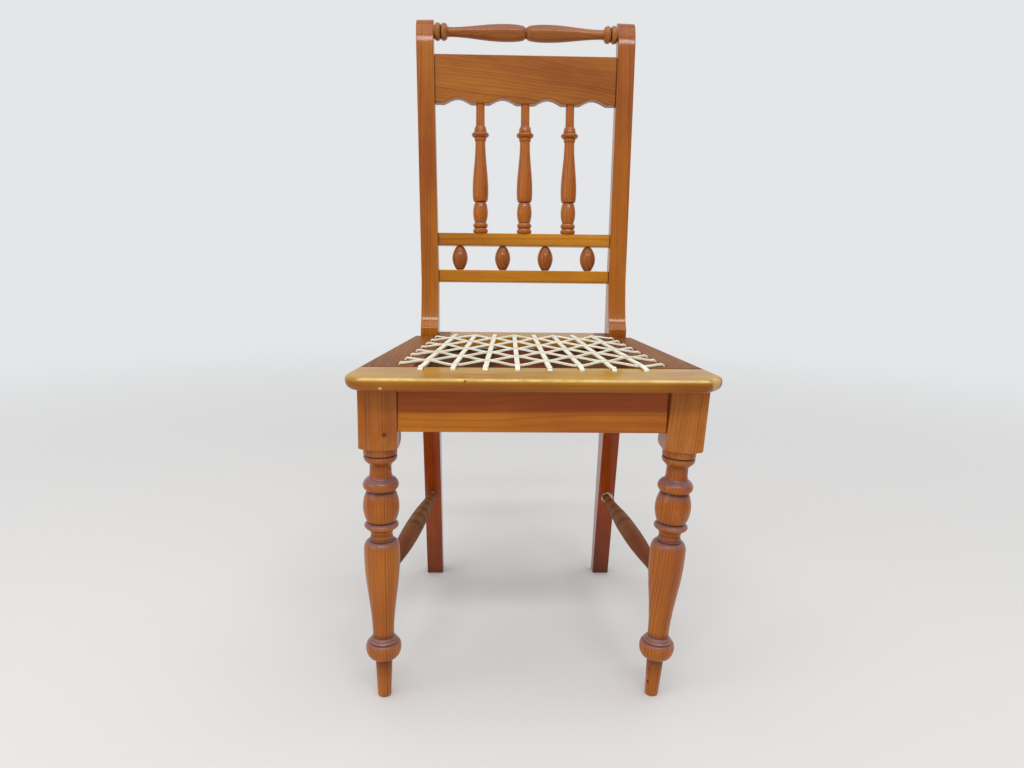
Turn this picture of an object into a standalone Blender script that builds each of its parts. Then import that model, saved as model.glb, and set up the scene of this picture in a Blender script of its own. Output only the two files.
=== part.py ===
# A broken wooden dining chair with turned front legs, a spindle back and a seat laced with
# flat thongs. Lengths are metres. The chair stands on z = 0 and faces -Y, so +X is the right
# side for someone who looks at its front. The origin is on the floor under the middle of the
# chair's box. Inside the "chair" empty, y runs backwards from the front edge of the seat.

import bpy
import bmesh
from math import atan2, cos, pi, radians, sin, tan
from mathutils import Vector

GAP = 0.0003                # clearance between pieces that touch

# Seat boards
SEAT_HEIGHT = 0.440         # top of the boards above the floor
SEAT_WIDTH = 0.458          # across the rounded front corners
SEAT_DEPTH = 0.413          # front edge to the rear edge between the posts
BOARD_THICK = 0.0168
BOARD_NOSE = 0.0070         # radius of the rounded outer edge
CORNER_RADIUS = 0.030       # front corners, seen from above
SIDE_ANGLE = radians(9.45)  # how far each side leans in towards the back
FRONT_BOARD_DEPTH = 0.083
REAR_BOARD_DEPTH = 0.066
SIDE_BOARD_WIDTH = 0.0674   # at its front end
OPENING_ANGLE = radians(7.6)  # how far each side of the laced opening leans in

# Aprons and the braces across their corners
APRON_HEIGHT = 0.0556
APRON_THICK = 0.020
APRON_RECESS = 0.0015       # aprons behind the outer faces of legs and posts
APRON_TENON = 0.013
APRON_SHOULDER = 0.005      # wood left round a tenon, on each side
BRACE_HEIGHT = 0.040
BRACE_DROP = 0.007          # top of the braces below the top of the aprons
BRACE_REACH = 0.060         # how far from the corner a brace meets each apron
BRACE_WIDTH = 0.027         # measured along an apron

# Front legs
BLOCK_SIDE = 0.0478         # square block at the top of the leg
BLOCK_DROP = 0.0183         # square block below the aprons, where it starts to round off
LEG_SETBACK = 0.031         # front edge of the seat to the face of the block
LEG_INSET = 0.0133          # side of the seat to the outer face of the block
LEG_LEAN = radians(3.5)     # the right leg has been knocked inwards at the foot

# Back posts, each sawn in one piece with its rear leg
POST_WIDTH = 0.0276
POST_INSET = 0.0016         # outer face inside the narrow end of the seat
POST_SPLAY = radians(1.55)  # the posts lean apart towards the top
SPLAY_START = 0.085         # and start to do so at this height over the seat
FOOT_DRAW = radians(0.28)   # the rear legs draw together towards the floor
POST_THICK = 0.024          # front to back, above the seat
POST_CHAMFER = 0.0012
BACK_RAKE = radians(8.5)
BACK_INSET = 0.0295         # middle plane of the back in front of the seat's rear edge
TOE_DEPTH = 0.054           # front to back where the post meets the seat
TOE_RISE = 0.0135           # upright face of the toe above the seat
SWEEP_RISE = 0.082          # the sweep above the toe ends at this height over the seat
TOP_HEIGHT = 0.935
SCROLL_START = 0.0485       # the front face starts to curve this far below the top
SCROLL_RADIUS = 0.016       # roll at the back of the post's top
SCROLL_BACK = 0.0125        # centre of the roll behind the middle plane
FOOT_DEPTH = 0.025
FOOT_BACK = 0.054           # the foot stands this far behind the seat's rear edge
FOOT_TAPER = 0.0003         # taken off each side of the rear foot

# Rails of the back, with heights measured up the rake from the seat
RAIL_THICK = 0.018
RAIL_TENON = 0.012
RAIL_SHOULDER = 0.0045
RAIL_CHAMFER = 0.0012
LOWER_RAIL_BOTTOM = 0.0836
LOWER_RAIL_HEIGHT = 0.0190
UPPER_RAIL_BOTTOM = 0.1419
UPPER_RAIL_HEIGHT = 0.0196
HEAD_RAIL_HEIGHT = 0.0757
HEAD_RAIL_DROP = 0.0371     # its top edge below the middle of the crest rail
HEAD_TENON_SHOULDER = 0.014
HEAD_PITCH = 0.0720         # spindles at the head rail, where they fan out a little
ARCH_RISE = 0.0084
ARCH_WIDTH = 0.0433
SPINDLE_PITCH = 0.0703      # spindles at the spindle rail
BEAD_PITCH = 0.0687
BEAD_RADIUS = 0.0114
SPINDLE_RADIUS = 0.0130     # collar, the widest turning of a spindle
PIN_RADIUS = 0.0045         # round tenons of spindles, beads and crest rail
PIN_LENGTH = 0.007
CREST_DROP = 0.0205         # middle of the crest rail below the top of the posts
CREST_RADIUS = 0.0137

# Side stretchers
STRETCHER_RADIUS = 0.0134
STRETCHER_TIP = 0.0050      # radius of the tapered ends
STRETCHER_TENON = 0.009     # depth of the holes for the ends
STRETCHER_FRONT = 0.161     # height of the front ends
LEFT_STRETCHER_REAR = 0.1610
RIGHT_STRETCHER_REAR = 0.1545
TORN_RADIUS = 0.0086        # torn ring round the loose end in the right rear leg
TORN_DEPTH = 0.0022
LOOSE_RADIUS = 0.0064       # hole that the loose end has worn

# Thong lacing of the seat
THONGS = 8                  # the same number each way
THONG_WIDTH = 0.0062
THONG_THICK = 0.0017
THONG_LIFT = 0.0006         # lowest thongs above the boards
THONG_FUSE = 0.0002         # crossing thongs bed into each other by this much
HOLE_RADIUS = 0.0038
FRONT_HOLE_INSET = 0.022    # opening's edge to the row of holes
REAR_HOLE_INSET = 0.014
SIDE_HOLE_INSET = 0.021
FRONT_HOLE_MARGIN = 0.0118  # last hole of a row inside the corner of the opening
REAR_HOLE_MARGIN = 0.0105
SIDE_HOLE_START = 0.017     # front edge of the opening to the foremost side hole
SIDE_HOLE_END = 0.0104      # rearmost side hole to the rear edge of the opening

LEG_STEPS = 14              # segments round the legs
SLIM_STEPS = 10             # and round the thinner turnings

# Sizes that follow from the ones above
BOARD_UNDER = SEAT_HEIGHT - BOARD_THICK
FRAME_TOP = BOARD_UNDER - GAP
APRON_BOTTOM = FRAME_TOP - APRON_HEIGHT
BLOCK_BOTTOM = APRON_BOTTOM - BLOCK_DROP
OPENING_REAR = SEAT_DEPTH - REAR_BOARD_DEPTH
TOE_FRONT = SEAT_DEPTH - TOE_DEPTH
SIDE_SLOPE = tan(SIDE_ANGLE)


def side_x(y):
    """Half the seat's width at a distance from its front edge."""
    tangent_x = SEAT_WIDTH / 2 - CORNER_RADIUS * (1 - cos(SIDE_ANGLE))
    tangent_y = CORNER_RADIUS * (1 + sin(SIDE_ANGLE))
    return tangent_x - (y - tangent_y) * SIDE_SLOPE


def opening_x(y):
    """Half the width of the laced opening at a distance from the front edge."""
    front = side_x(FRONT_BOARD_DEPTH) - SIDE_BOARD_WIDTH
    return front - (y - FRONT_BOARD_DEPTH) * tan(OPENING_ANGLE)


POST_X = side_x(SEAT_DEPTH) - POST_INSET - POST_WIDTH / 2
POST_INNER = POST_X - POST_WIDTH / 2
LEG_OUTER = SEAT_WIDTH / 2 - LEG_INSET
LEG_X = LEG_OUTER - BLOCK_SIDE / 2
LEG_INNER = LEG_OUTER - BLOCK_SIDE
LEG_Y = LEG_SETBACK + BLOCK_SIDE / 2
BLOCK_REAR = LEG_SETBACK + BLOCK_SIDE
BACK_MIDDLE = SEAT_DEPTH - BACK_INSET
RAKE_SLOPE = tan(BACK_RAKE)
LOWER_RAIL_TOP = LOWER_RAIL_BOTTOM + LOWER_RAIL_HEIGHT
UPPER_RAIL_TOP = UPPER_RAIL_BOTTOM + UPPER_RAIL_HEIGHT
CREST_RISE = (TOP_HEIGHT - SEAT_HEIGHT - CREST_DROP) / cos(BACK_RAKE)
HEAD_RAIL_TOP = CREST_RISE - HEAD_RAIL_DROP
HEAD_RAIL_BOTTOM = HEAD_RAIL_TOP - HEAD_RAIL_HEIGHT
REAR_EDGE = BACK_MIDDLE + (TOP_HEIGHT - SEAT_HEIGHT) * RAKE_SLOPE + SCROLL_BACK + SCROLL_RADIUS
LEFT, RIGHT = -1, 1


def start_scene():
    for old in list(bpy.data.objects):
        bpy.data.objects.remove(old, do_unlink=True)
    parts = bpy.data.collections.new("broken_wooden_chair")
    cutters = bpy.data.collections.new("chair_cutters")
    bpy.context.scene.collection.children.link(parts)
    bpy.context.scene.collection.children.link(cutters)
    return parts, cutters


PARTS, CUTTERS = start_scene()


def add_empty(name, location, rotation=(0, 0, 0), parent=None):
    empty = bpy.data.objects.new(name, None)
    empty.location = location
    empty.rotation_euler = rotation
    empty.parent = parent
    PARTS.objects.link(empty)
    return empty


CHAIR = add_empty("chair", (0, -REAR_EDGE / 2, 0))
BACK = add_empty("back_plane", (0, BACK_MIDDLE, SEAT_HEIGHT), (-BACK_RAKE, 0, 0), CHAIR)


def varnish(name, red, green, blue, roughness=0.3):
    material = bpy.data.materials.new(name)
    material.use_nodes = True
    shader = material.node_tree.nodes["Principled BSDF"]
    shader.inputs["Base Color"].default_value = (red, green, blue, 1)
    shader.inputs["Roughness"].default_value = roughness
    shader.inputs["Metallic"].default_value = 0
    return material


def add_part(name, mesh, material, parent=CHAIR, location=(0, 0, 0)):
    part = bpy.data.objects.new(name, mesh)
    part.location = location
    part.parent = parent
    mesh.materials.clear()
    mesh.materials.append(material)
    mesh.shade_smooth()
    mesh.set_sharp_from_angle(angle=radians(35))
    PARTS.objects.link(part)
    return part


def add_cutter(name, mesh, parent=CHAIR, location=(0, 0, 0)):
    cutter = bpy.data.objects.new(name, mesh)
    cutter.location = location
    cutter.parent = parent
    cutter.hide_render = True
    cutter.display_type = "WIRE"
    CUTTERS.objects.link(cutter)
    return cutter


def combine(part, other, operation):
    step = part.modifiers.new(operation.lower() + "_" + other.name, "BOOLEAN")
    step.operation = operation
    step.object = other
    step.solver = "EXACT"


def mesh_from(bm, name):
    mesh = bpy.data.meshes.new(name)
    bm.to_mesh(mesh)
    bm.free()
    return mesh


def box_mesh(name, low, high):
    """A box between two corners."""
    bm = bmesh.new()
    bmesh.ops.create_cube(bm, size=1)
    size = [b - a for a, b in zip(low, high)]
    middle = [(a + b) / 2 for a, b in zip(low, high)]
    bmesh.ops.scale(bm, vec=size, verts=bm.verts)
    bmesh.ops.translate(bm, vec=middle, verts=bm.verts)
    return mesh_from(bm, name)


def pegs_mesh(name, pegs, radius, steps=12):
    """Separate round pegs in one mesh, each from one point to another."""
    bm = bmesh.new()
    for start, end in pegs:
        axis = Vector(end) - Vector(start)
        turn = axis.to_track_quat("Z", "Y").to_matrix().to_4x4()
        made = bmesh.ops.create_cone(bm, cap_ends=True, segments=steps, radius1=radius,
                                     radius2=radius, depth=axis.length, matrix=turn)
        middle = (Vector(start) + Vector(end)) / 2
        bmesh.ops.translate(bm, vec=middle, verts=made["verts"])
    return mesh_from(bm, name)


# Rotation that stands a flat outline up: "XY" is a plan, "YZ" a side view, "XZ" a front view
OUTLINE_TURN = {"XY": (0, 0, 0), "YZ": (pi / 2, 0, pi / 2), "XZ": (pi / 2, 0, 0)}


def outline_mesh(name, points, low, high, view="XY", edge=0.0, edge_steps=0):
    """A flat outline with a thickness from low to high and, where asked, rounded edges."""
    curve = bpy.data.curves.new(name, "CURVE")
    curve.dimensions = "2D"
    curve.fill_mode = "BOTH"
    curve.extrude = (high - low) / 2 - edge
    curve.bevel_depth = edge
    curve.bevel_resolution = edge_steps
    curve.offset = -edge
    spline = curve.splines.new("POLY")
    spline.points.add(len(points) - 1)
    for point, (across, up) in zip(spline.points, points):
        point.co = (across, up, 0, 1)
    spline.use_cyclic_u = True
    sheet = bpy.data.objects.new(name, curve)
    sheet.rotation_euler = OUTLINE_TURN[view]
    bpy.context.scene.collection.objects.link(sheet)
    bpy.context.view_layer.update()
    solid = sheet.evaluated_get(bpy.context.evaluated_depsgraph_get())
    mesh = bpy.data.meshes.new_from_object(solid)
    mesh.name = name
    mesh.transform(sheet.matrix_world)
    normal = sheet.matrix_world.to_3x3() @ Vector((0, 0, 1))
    bpy.data.objects.remove(sheet, do_unlink=True)
    bm = bmesh.new()
    bm.from_mesh(mesh)
    bmesh.ops.translate(bm, vec=normal * ((low + high) / 2), verts=bm.verts)
    bmesh.ops.remove_doubles(bm, verts=bm.verts, dist=0.00001)
    bmesh.ops.recalc_face_normals(bm, faces=bm.faces)
    bm.to_mesh(mesh)
    bm.free()
    return mesh


def arc(centre, radius, start, end, steps):
    """Points on a circle between two angles in degrees."""
    angles = [radians(start + (end - start) * i / steps) for i in range(steps + 1)]
    return [(centre[0] + radius * cos(a), centre[1] + radius * sin(a)) for a in angles]


def bend(start, corner, end, steps):
    """A smooth bend that leaves start towards the corner and arrives at end from it."""
    points = []
    for i in range(steps + 1):
        t = i / steps
        weights = ((1 - t) ** 2, 2 * t * (1 - t), t ** 2)
        points.append(tuple(sum(w * p[axis] for w, p in zip(weights, (start, corner, end)))
                            for axis in (0, 1)))
    return points


# Turned profiles are lists of (height, radius) from the bottom up, joined from these moves

def bead(low, high, root, belly, steps=6, top=None):
    """A rounded swelling on a core, which may end at another radius than it starts."""
    top = root if top is None else top
    moves = []
    for i in range(steps + 1):
        core = root + (top - root) * i / steps
        moves.append((low + (high - low) * i / steps, core + (belly - core) * sin(pi * i / steps)))
    return moves


def sweep(low, low_radius, high, high_radius, steps=4):
    """A smooth change from one radius to another, level at both ends."""
    moves = []
    for i in range(steps + 1):
        share = (1 - cos(pi * i / steps)) / 2
        moves.append((low + (high - low) * i / steps, low_radius + (high_radius - low_radius) * share))
    return moves


def from_level(low, low_radius, high, high_radius, steps=3):
    """A quarter curve that starts along the axis and ends square to it."""
    turns = [pi / 2 * i / steps for i in range(steps + 1)]
    return [(low + (high - low) * sin(t), low_radius + (high_radius - low_radius) * (1 - cos(t))) for t in turns]


def to_level(low, low_radius, high, high_radius, steps=3):
    """A quarter curve that starts square to the axis and ends along it."""
    turns = [pi / 2 * i / steps for i in range(steps + 1)]
    return [(low + (high - low) * (1 - cos(t)), low_radius + (high_radius - low_radius) * sin(t)) for t in turns]


def turned(name, profile, steps, material, parent=CHAIR, location=(0, 0, 0)):
    """A piece turned on its Z axis, closed at both ends."""
    closed = [(profile[0][0], 0)] + profile + [(profile[-1][0], 0)]
    bm = bmesh.new()
    verts = [bm.verts.new((radius, 0, height)) for height, radius in reversed(closed)]
    for upper, lower in zip(verts, verts[1:]):
        bm.edges.new((upper, lower))
    bmesh.ops.remove_doubles(bm, verts=bm.verts, dist=0.00005)
    part = add_part(name, mesh_from(bm, name), material, parent, location)
    lathe = part.modifiers.new("lathe", "SCREW")
    lathe.angle = 2 * pi
    lathe.steps = steps
    lathe.render_steps = steps
    lathe.use_merge_vertices = True
    lathe.merge_threshold = 0.00001
    return part


PINE = varnish("pine_back", 0.46, 0.17, 0.035)
PINE_GOLD = varnish("pine_rails", 0.50, 0.21, 0.04)
PINE_SEAT = varnish("pine_seat", 0.50, 0.26, 0.07)
PINE_APRON = varnish("pine_aprons", 0.33, 0.10, 0.02)
PINE_LEG = varnish("pine_legs", 0.36, 0.13, 0.03)
DULL_PINE = varnish("dull_pine", 0.20, 0.09, 0.035, 0.55)
RAW_PINE = varnish("raw_pine", 0.55, 0.38, 0.20, 0.8)
HIDE = varnish("ivory_hide", 0.80, 0.76, 0.62, 0.6)


# Seat boards and their holes

def mirrored(points):
    return [(-x, y) for x, y in reversed(points)]


def seat_slab(name):
    """The whole seat with its rounded rim, from which each board is cut."""
    corner = arc((SEAT_WIDTH / 2 - CORNER_RADIUS, CORNER_RADIUS), CORNER_RADIUS,
                 -90, SIDE_ANGLE * 180 / pi, 6)
    half = corner + [(side_x(SEAT_DEPTH), SEAT_DEPTH)]
    return outline_mesh(name, half + mirrored(half), BOARD_UNDER, SEAT_HEIGHT,
                        edge=BOARD_NOSE, edge_steps=2)


def hole_row(half_width, y):
    """Holes along a cross board, spread evenly between two ends."""
    return [(half_width * (2 * i / (THONGS - 1) - 1), y) for i in range(THONGS)]


def front_holes():
    return hole_row(opening_x(FRONT_BOARD_DEPTH) - FRONT_HOLE_MARGIN, FRONT_BOARD_DEPTH - FRONT_HOLE_INSET)


def rear_holes():
    return hole_row(opening_x(OPENING_REAR) - REAR_HOLE_MARGIN, OPENING_REAR + REAR_HOLE_INSET)


FIRST_STRAND = FRONT_BOARD_DEPTH + SIDE_HOLE_START
SIDE_HOLE_PITCH = (OPENING_REAR - SIDE_HOLE_END - FIRST_STRAND) / (THONGS - 1)


def side_holes(side):
    places = [FIRST_STRAND + i * SIDE_HOLE_PITCH for i in range(THONGS)]
    return [(side * (opening_x(y) + SIDE_HOLE_INSET), y) for y in places]


def seat_board(name, region, holes):
    board = add_part(name, seat_slab(name), PINE_SEAT)
    beyond = 0.01
    keep = outline_mesh(name + "_region", region, BOARD_UNDER - beyond, SEAT_HEIGHT + beyond)
    combine(board, add_cutter(name + "_region", keep), "INTERSECT")
    drilled = [((x, y, BOARD_UNDER - beyond), (x, y, SEAT_HEIGHT + beyond)) for x, y in holes]
    drill = pegs_mesh(name + "_drill", drilled, HOLE_RADIUS, 8)
    combine(board, add_cutter(name + "_drill", drill), "DIFFERENCE")
    return board


def build_seat_boards():
    wide = SEAT_WIDTH
    back = SEAT_DEPTH + 0.01
    seam = opening_x(OPENING_REAR)
    front = seat_board("seat_front_board",
                       [(-wide, -0.01), (wide, -0.01), (wide, FRONT_BOARD_DEPTH), (-wide, FRONT_BOARD_DEPTH)],
                       front_holes())
    seat_board("seat_rear_board",
               [(-seam + GAP, OPENING_REAR), (seam - GAP, OPENING_REAR), (seam - GAP, back), (-seam + GAP, back)],
               rear_holes())
    start = FRONT_BOARD_DEPTH + GAP
    notch_x = POST_INNER - 2 * GAP
    notch_y = TOE_FRONT - GAP
    right = [(opening_x(start), start), (wide, start), (wide, notch_y), (notch_x, notch_y),
             (notch_x, back), (seam, back), (seam, OPENING_REAR)]
    seat_board("seat_right_board", right, side_holes(RIGHT))
    seat_board("seat_left_board", mirrored(right), side_holes(LEFT))
    return front


def chip_front_corner(board):
    """The worn right front corner of the seat has lost a flake from its rounded edge."""
    flake = box_mesh("corner_flake", (-0.012, -0.004, -0.010), (0.012, 0.004, 0.010))
    turn = radians(-45)
    reach = CORNER_RADIUS + 0.0022
    cutter = add_cutter("corner_flake", flake)
    cutter.location = (SEAT_WIDTH / 2 - CORNER_RADIUS + reach * cos(turn),
                       CORNER_RADIUS + reach * sin(turn), SEAT_HEIGHT - BOARD_THICK * 0.75)
    cutter.rotation_euler = (radians(20), 0, turn + pi / 2)
    combine(board, cutter, "DIFFERENCE")


# Back posts with their rear legs

KNEE = APRON_BOTTOM - 0.012
FOOT_REAR_Y = SEAT_DEPTH + FOOT_BACK
FOOT_FRONT_Y = FOOT_REAR_Y - FOOT_DEPTH


def rear_leg_face(z):
    """The rear leg's front face at a height under the aprons."""
    return FOOT_FRONT_Y + (TOE_FRONT - FOOT_FRONT_Y) * z / KNEE


def post_outline():
    """Side view of a post as (y, z), up the front from the foot and down the back."""
    half = POST_THICK / 2 / cos(BACK_RAKE)

    def front(z):
        return BACK_MIDDLE + (z - SEAT_HEIGHT) * RAKE_SLOPE - half

    def rear(z):
        return front(z) + 2 * half

    toe_top = SEAT_HEIGHT + TOE_RISE
    hollow = toe_top + 0.009
    sweep_top = SEAT_HEIGHT + SWEEP_RISE
    curve_start = TOP_HEIGHT - SCROLL_START
    knee_start = KNEE - 0.045
    outline = [(FOOT_FRONT_Y, 0)]
    outline += bend((rear_leg_face(knee_start), knee_start), (TOE_FRONT, KNEE), (TOE_FRONT, APRON_BOTTOM), 3)
    outline += bend((TOE_FRONT, toe_top), (front(hollow), hollow), (front(sweep_top), sweep_top), 7)
    roll = (BACK_MIDDLE + (TOP_HEIGHT - SEAT_HEIGHT) * RAKE_SLOPE + SCROLL_BACK, TOP_HEIGHT - SCROLL_RADIUS)
    outline += bend((front(curve_start), curve_start), (front(TOP_HEIGHT), TOP_HEIGHT),
                    (roll[0], TOP_HEIGHT), 8)[:-1]
    outline += arc(roll, SCROLL_RADIUS, 90, -72, 9)
    under_roll = TOP_HEIGHT - 2 * SCROLL_RADIUS
    outline += bend((rear(under_roll), under_roll), (rear(under_roll - 0.004), under_roll - 0.004),
                    (rear(under_roll - 0.012), under_roll - 0.012), 1)
    meet = SEAT_HEIGHT + (SEAT_DEPTH - rear(SEAT_HEIGHT)) / RAKE_SLOPE
    outline += bend((rear(meet + 0.06), meet + 0.06), (SEAT_DEPTH, meet), (SEAT_DEPTH, meet - 0.06), 4)
    rear_knee = KNEE + 0.030
    below = rear_knee - 0.05
    slope = (FOOT_REAR_Y - SEAT_DEPTH) / rear_knee
    outline += bend((SEAT_DEPTH, FRAME_TOP), (SEAT_DEPTH, rear_knee),
                    (SEAT_DEPTH + slope * (rear_knee - below), below), 3)
    outline += [(FOOT_REAR_Y, 0)]
    return outline


def post_shift(z):
    """How far the posts stand outside their place at the seat, at a height above the floor."""
    above = max(0, z - SEAT_HEIGHT - SPLAY_START)
    below = max(0, SEAT_HEIGHT - z)
    return above * tan(POST_SPLAY) - below * tan(FOOT_DRAW)


def build_post(name, side):
    mesh = outline_mesh(name, post_outline(), -POST_WIDTH / 2, POST_WIDTH / 2, "YZ", POST_CHAMFER)
    bm = bmesh.new()
    bm.from_mesh(mesh)
    for height in (APRON_BOTTOM, SEAT_HEIGHT, SEAT_HEIGHT + SPLAY_START):
        whole = bm.verts[:] + bm.edges[:] + bm.faces[:]
        bmesh.ops.bisect_plane(bm, geom=whole, dist=0.00001, plane_co=(0, 0, height), plane_no=(0, 0, 1))
    for vert in bm.verts:
        share = max(0, (APRON_BOTTOM - vert.co.z) / APRON_BOTTOM)
        vert.co.x *= 1 - share * FOOT_TAPER / (POST_WIDTH / 2)
        vert.co.x += side * post_shift(vert.co.z)
    bm.to_mesh(mesh)
    bm.free()
    return add_part(name, mesh, PINE, location=(side * POST_X, 0, 0))


def post_gap(height, raked=True):
    """Half the distance between the posts at a height over the seat."""
    rise = height * cos(BACK_RAKE) if raked else height
    return POST_INNER + post_shift(SEAT_HEIGHT + rise) - GAP


# Rails, spindles and beads of the back, in the raked plane

def level_rail(bottom, height, raked=True):
    top = bottom + height
    return [(-post_gap(bottom, raked), bottom), (post_gap(bottom, raked), bottom),
            (post_gap(top, raked), top), (-post_gap(top, raked), top)]


def arched_rail():
    """Head rail outline whose lower edge rises in an arch between neighbouring spindles."""
    lower = []
    for place in (-1.5, -0.5, 0.5, 1.5):
        for i in range(9):
            t = i / 8
            lift = ((1 - cos(2 * pi * t)) / 2) ** 0.6
            lower.append((place * HEAD_PITCH + (t - 0.5) * ARCH_WIDTH, HEAD_RAIL_BOTTOM + ARCH_RISE * lift))
    foot, top = post_gap(HEAD_RAIL_BOTTOM), post_gap(HEAD_RAIL_TOP)
    return [(-foot, HEAD_RAIL_BOTTOM)] + lower + [(foot, HEAD_RAIL_BOTTOM), (top, HEAD_RAIL_TOP),
                                                 (-top, HEAD_RAIL_TOP)]


def build_back_rail(name, outline, bottom, height, shoulder, posts):
    rail = add_part(name, outline_mesh(name, outline, -RAIL_THICK / 2, RAIL_THICK / 2, "XZ", RAIL_CHAMFER),
                    PINE_GOLD, BACK)
    reach = post_gap(bottom) + RAIL_TENON
    half = RAIL_THICK / 2 - RAIL_SHOULDER
    low, high = bottom + shoulder, bottom + height - shoulder
    tongue = box_mesh(name + "_tongue", (-reach, -half, low), (reach, half, high))
    combine(rail, add_cutter(name + "_tongue", tongue, BACK), "UNION")
    room = box_mesh(name + "_mortise", (-reach - GAP, -half - GAP, low - GAP), (reach + GAP, half + GAP, high + GAP))
    mortise = add_cutter(name + "_mortise", room, BACK)
    for post in posts:
        combine(post, mortise, "DIFFERENCE")
    return rail


def pin_holes(rail, name, places, edge, direction):
    """Round holes for the pins of the turned pieces, into one edge of a rail."""
    depth = PIN_LENGTH + GAP
    pegs = [((x, 0, edge - direction * 0.01), (x, 0, edge + direction * depth)) for x in places]
    combine(rail, add_cutter(name, pegs_mesh(name, pegs, PIN_RADIUS + GAP), BACK), "DIFFERENCE")


def pinned(profile, length):
    """Adds the pins at both ends of a turned piece."""
    foot = [(-PIN_LENGTH, PIN_RADIUS), (0, PIN_RADIUS)]
    head = [(length, PIN_RADIUS), (length + PIN_LENGTH, PIN_RADIUS)]
    return foot + profile + head


def spindle_profile(length):
    """Two rings, a bead, a vase and a collar, at shares of the spindle's length."""
    slim = SPINDLE_RADIUS * 0.53

    def at(share):
        return share * length

    return pinned(
        bead(0, at(0.041), 0.0090, 0.0112, 3)
        + bead(at(0.043), at(0.085), 0.0088, 0.0110, 3)
        + bead(at(0.088), at(0.239), 0.0078, 0.0108, 6)
        + sweep(at(0.244), 0.0086, at(0.332), 0.0118, 3)
        + sweep(at(0.337), 0.0118, at(0.712), 0.0079, 4)[1:]
        + [(at(0.727), 0.0094), (at(0.746), 0.0097)]
        + bead(at(0.747), at(0.783), 0.0100, SPINDLE_RADIUS, 3)
        + [(at(0.800), 0.0083), (at(0.839), slim), (length, slim)], length)


def build_back(posts):
    lower = build_back_rail("lower_back_rail", level_rail(LOWER_RAIL_BOTTOM, LOWER_RAIL_HEIGHT),
                            LOWER_RAIL_BOTTOM, LOWER_RAIL_HEIGHT, RAIL_SHOULDER, posts)
    upper = build_back_rail("spindle_rail", level_rail(UPPER_RAIL_BOTTOM, UPPER_RAIL_HEIGHT),
                            UPPER_RAIL_BOTTOM, UPPER_RAIL_HEIGHT, RAIL_SHOULDER, posts)
    head = build_back_rail("head_rail", arched_rail(), HEAD_RAIL_BOTTOM, HEAD_RAIL_HEIGHT,
                           HEAD_TENON_SHOULDER, posts)
    spindle_x = [i * SPINDLE_PITCH for i in (-1, 0, 1)]
    bead_x = [(i - 1.5) * BEAD_PITCH for i in range(4)]
    length = HEAD_RAIL_BOTTOM - UPPER_RAIL_TOP - 2 * GAP
    head_x = [i * HEAD_PITCH for i in (-1, 0, 1)]
    for number, (x, top_x) in enumerate(zip(spindle_x, head_x), 1):
        spindle = turned(f"back_spindle_{number}", spindle_profile(length), SLIM_STEPS, PINE, BACK,
                         (x, 0, UPPER_RAIL_TOP + GAP))
        spindle.rotation_euler = (0, atan2(top_x - x, length), 0)
    short = UPPER_RAIL_BOTTOM - LOWER_RAIL_TOP - 2 * GAP
    for number, x in enumerate(bead_x, 1):
        turned(f"back_bead_{number}", pinned(bead(0, short, 0.0068, BEAD_RADIUS, 7), short), SLIM_STEPS,
               PINE, BACK, (x, 0, LOWER_RAIL_TOP + GAP))
    pin_holes(upper, "spindle_foot_holes", spindle_x, UPPER_RAIL_TOP, -1)
    pin_holes(upper, "bead_head_holes", bead_x, UPPER_RAIL_BOTTOM, 1)
    pin_holes(lower, "bead_foot_holes", bead_x, LOWER_RAIL_TOP, -1)
    pin_holes(head, "spindle_head_holes", head_x, HEAD_RAIL_BOTTOM, 1)


def build_crest_rail(posts):
    """A turned bar between the tops of the posts, with paired rings at its ends."""
    end = post_gap(CREST_RISE)
    swelling = CREST_RADIUS * 0.98
    neck = CREST_RADIUS * 0.54
    outward = (
        [(0, 0.0086), (0.0020, 0.0086)]
        + to_level(0.0034, 0.0089, end * 0.21, swelling, 4)
        + sweep(end * 0.21, swelling, end - 0.0250, neck, 5)[1:]
        + [(end - 0.0215, 0.0090)]
        + bead(end - 0.0212, end - 0.0128, 0.0110, CREST_RADIUS, 3)
        + bead(end - 0.0116, end - 0.0024, 0.0112, CREST_RADIUS, 3)
        + [(end, 0.0100), (end, PIN_RADIUS), (end + PIN_LENGTH, PIN_RADIUS)])
    inward = [(-place, radius) for place, radius in reversed(outward[1:])]
    crest = turned("crest_rail", inward + outward[1:], SLIM_STEPS, PINE, BACK, (0, 0, CREST_RISE))
    crest.rotation_euler = (0, pi / 2, 0)
    reach = end + PIN_LENGTH + GAP
    hole = pegs_mesh("crest_holes", [((-reach, 0, CREST_RISE), (reach, 0, CREST_RISE))], PIN_RADIUS + GAP)
    cutter = add_cutter("crest_holes", hole, BACK)
    for post in posts:
        combine(post, cutter, "DIFFERENCE")


# Front legs

LEG_RADIUS = 0.0230         # the fullest turnings
NECK_RADIUS = 0.0138
FOOT_RADIUS = 0.0093
BUN = 0.0555                # underside of the bun above the floor
ANKLE = 0.086               # narrow place above the bun
BELLY_DROP = 0.145          # these lie below the block: fullest place of the vase
BARREL_DROP = 0.104         # bottom of the barrel
RING_DROP = 0.0622          # bottom of the ring over the barrel
COLLAR_DROP = 0.0275        # bottom of the bead next to the block


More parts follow.
